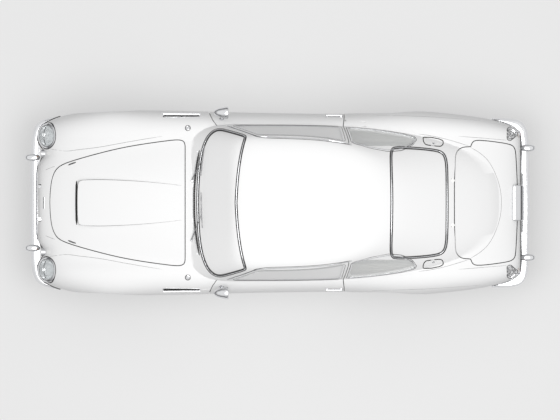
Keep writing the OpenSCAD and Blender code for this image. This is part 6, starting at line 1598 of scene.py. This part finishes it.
# dark rubber lips that close the slit between each bumper's top flange and the body; their black is painted shade of
# the slit
for path, nm in ((FRONT_BAR, "Front"), (REAR_BAR, "Rear")):
    H = curve(path, 8)[:, :2]; P = np.vstack([H[::-1]*[1, -1], H[1:]]); up = 1 if path[0][0] > 0 else -1
    T = np.gradient(P, axis=0); T /= np.linalg.norm(T, axis=1)[:, None]
    O = np.column_stack([T[:, 1], -T[:, 0]])*up; R = []
    for i in range(len(P)):
        h = LOW_TREE.ray_cast(Vector((P[i][0], P[i][1], 500))/1000, Vector((-O[i][0], -O[i][1], 0)), 0.14)
        if h[0] is None: continue
        b = np.array(h[0])*1000
        R.append([(b[0] + O[i][0]*a, b[1] + O[i][1]*a, z) for a, z in ((-1, 494), (9, 494), (9, 499), (6, 503.5), (-1, 504))])
    o = loft(nm + "_Bumper_Lip_Slit_Shade", R); coloured(o, "seal"); shade(o, 40); put(o, nm + "_Bumper_Lip_Slit_Shade", "car", (), "dark_metal")

# ------------------------------------------------------------------ carried-over CAD nodes
def dress(node, *mats):
    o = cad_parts[node]
    if o.hide_render: return
    o.data.materials.clear()
    for m in mats: o.data.materials.append(M[m])
for node, m in (("engine_block", "engine"), ("exhaust", "exhaust"), ("front_suspension", "dark_metal"), ("rear_axle", "dark_metal"),
                ("hinge_pins", "steel"), ("lifting_points", "dark_metal"), ("left_knuckle", "dark_metal"), ("right_knuckle", "dark_metal"),
                ("floor_pan", "floor_mix")):
    dress(node, m)

# ------------------------------------------------------------------ camera, light, floor
delete(SKIN)
for o in (low_hi, cab_hi, scoop_skin): delete(o)
cam_data = bpy.data.cameras.new("Camera"); cam = bpy.data.objects.new("Camera", cam_data); S.collection.objects.link(cam)
cam_data.type = "ORTHO"; cam_data.ortho_scale = 4.9986; cam_data.clip_end = 50
cam.location = (0, 0.0643, 9); cam.rotation_euler = (0, 0, math.pi); S.camera = cam
fl = bpy.data.meshes.new("Studio_Floor")
n = 24; R = 12.0
fv = [((i/n - 0.5)*2*R, (j/n - 0.5)*2*R, -0.0005) for i in range(n + 1) for j in range(n + 1)]
ff = [(i*(n + 1) + j, (i + 1)*(n + 1) + j, (i + 1)*(n + 1) + j + 1, i*(n + 1) + j + 1) for i in range(n) for j in range(n)]
fl.from_pydata(fv, [], ff); fo = bpy.data.objects.new("Studio_Floor", fl); S.collection.objects.link(fo); fl.materials.append(M["floor"])
W = bpy.data.worlds.new("Studio"); S.world = W; W.use_nodes = True
WN, WL = W.node_tree.nodes, W.node_tree.links
bg = WN["Background"]; bg.inputs["Strength"].default_value = 0.92
tc = WN.new("ShaderNodeTexCoord"); sp = WN.new("ShaderNodeSeparateXYZ"); rp = WN.new("ShaderNodeValToRGB")
WL.new(tc.outputs["Generated"], sp.inputs["Vector"]); WL.new(sp.outputs["Z"], rp.inputs["Fac"]); WL.new(rp.outputs["Color"], bg.inputs["Color"])
e = rp.color_ramp.elements; e[0].position, e[1].position = 0.0, 0.72
e[0].color, e[1].color = (0.10, 0.10, 0.105, 1), (1.0, 1.0, 1.0, 1)
m_ = e.new(0.34); m_.color = (0.42, 0.42, 0.425, 1)
def area_light(name, loc, target, size, energy, shape="DISK"):
    l = bpy.data.lights.new(name, "AREA"); l.energy = energy; l.size = size; l.shape = shape
    o = bpy.data.objects.new(name, l); S.collection.objects.link(o); o.location = loc
    o.rotation_euler = (Vector(loc) - Vector(target)).to_track_quat("Z", "Y").to_euler(); return o
area_light("Key", (-0.3, 0.8, 7.5), (0, 0, 0), 5.0, 250)
S.view_settings.view_transform = "Standard"; S.view_settings.look = "None"
S.view_settings.exposure = 0.0; S.view_settings.gamma = 1.0

bpy.context.view_layer.update()
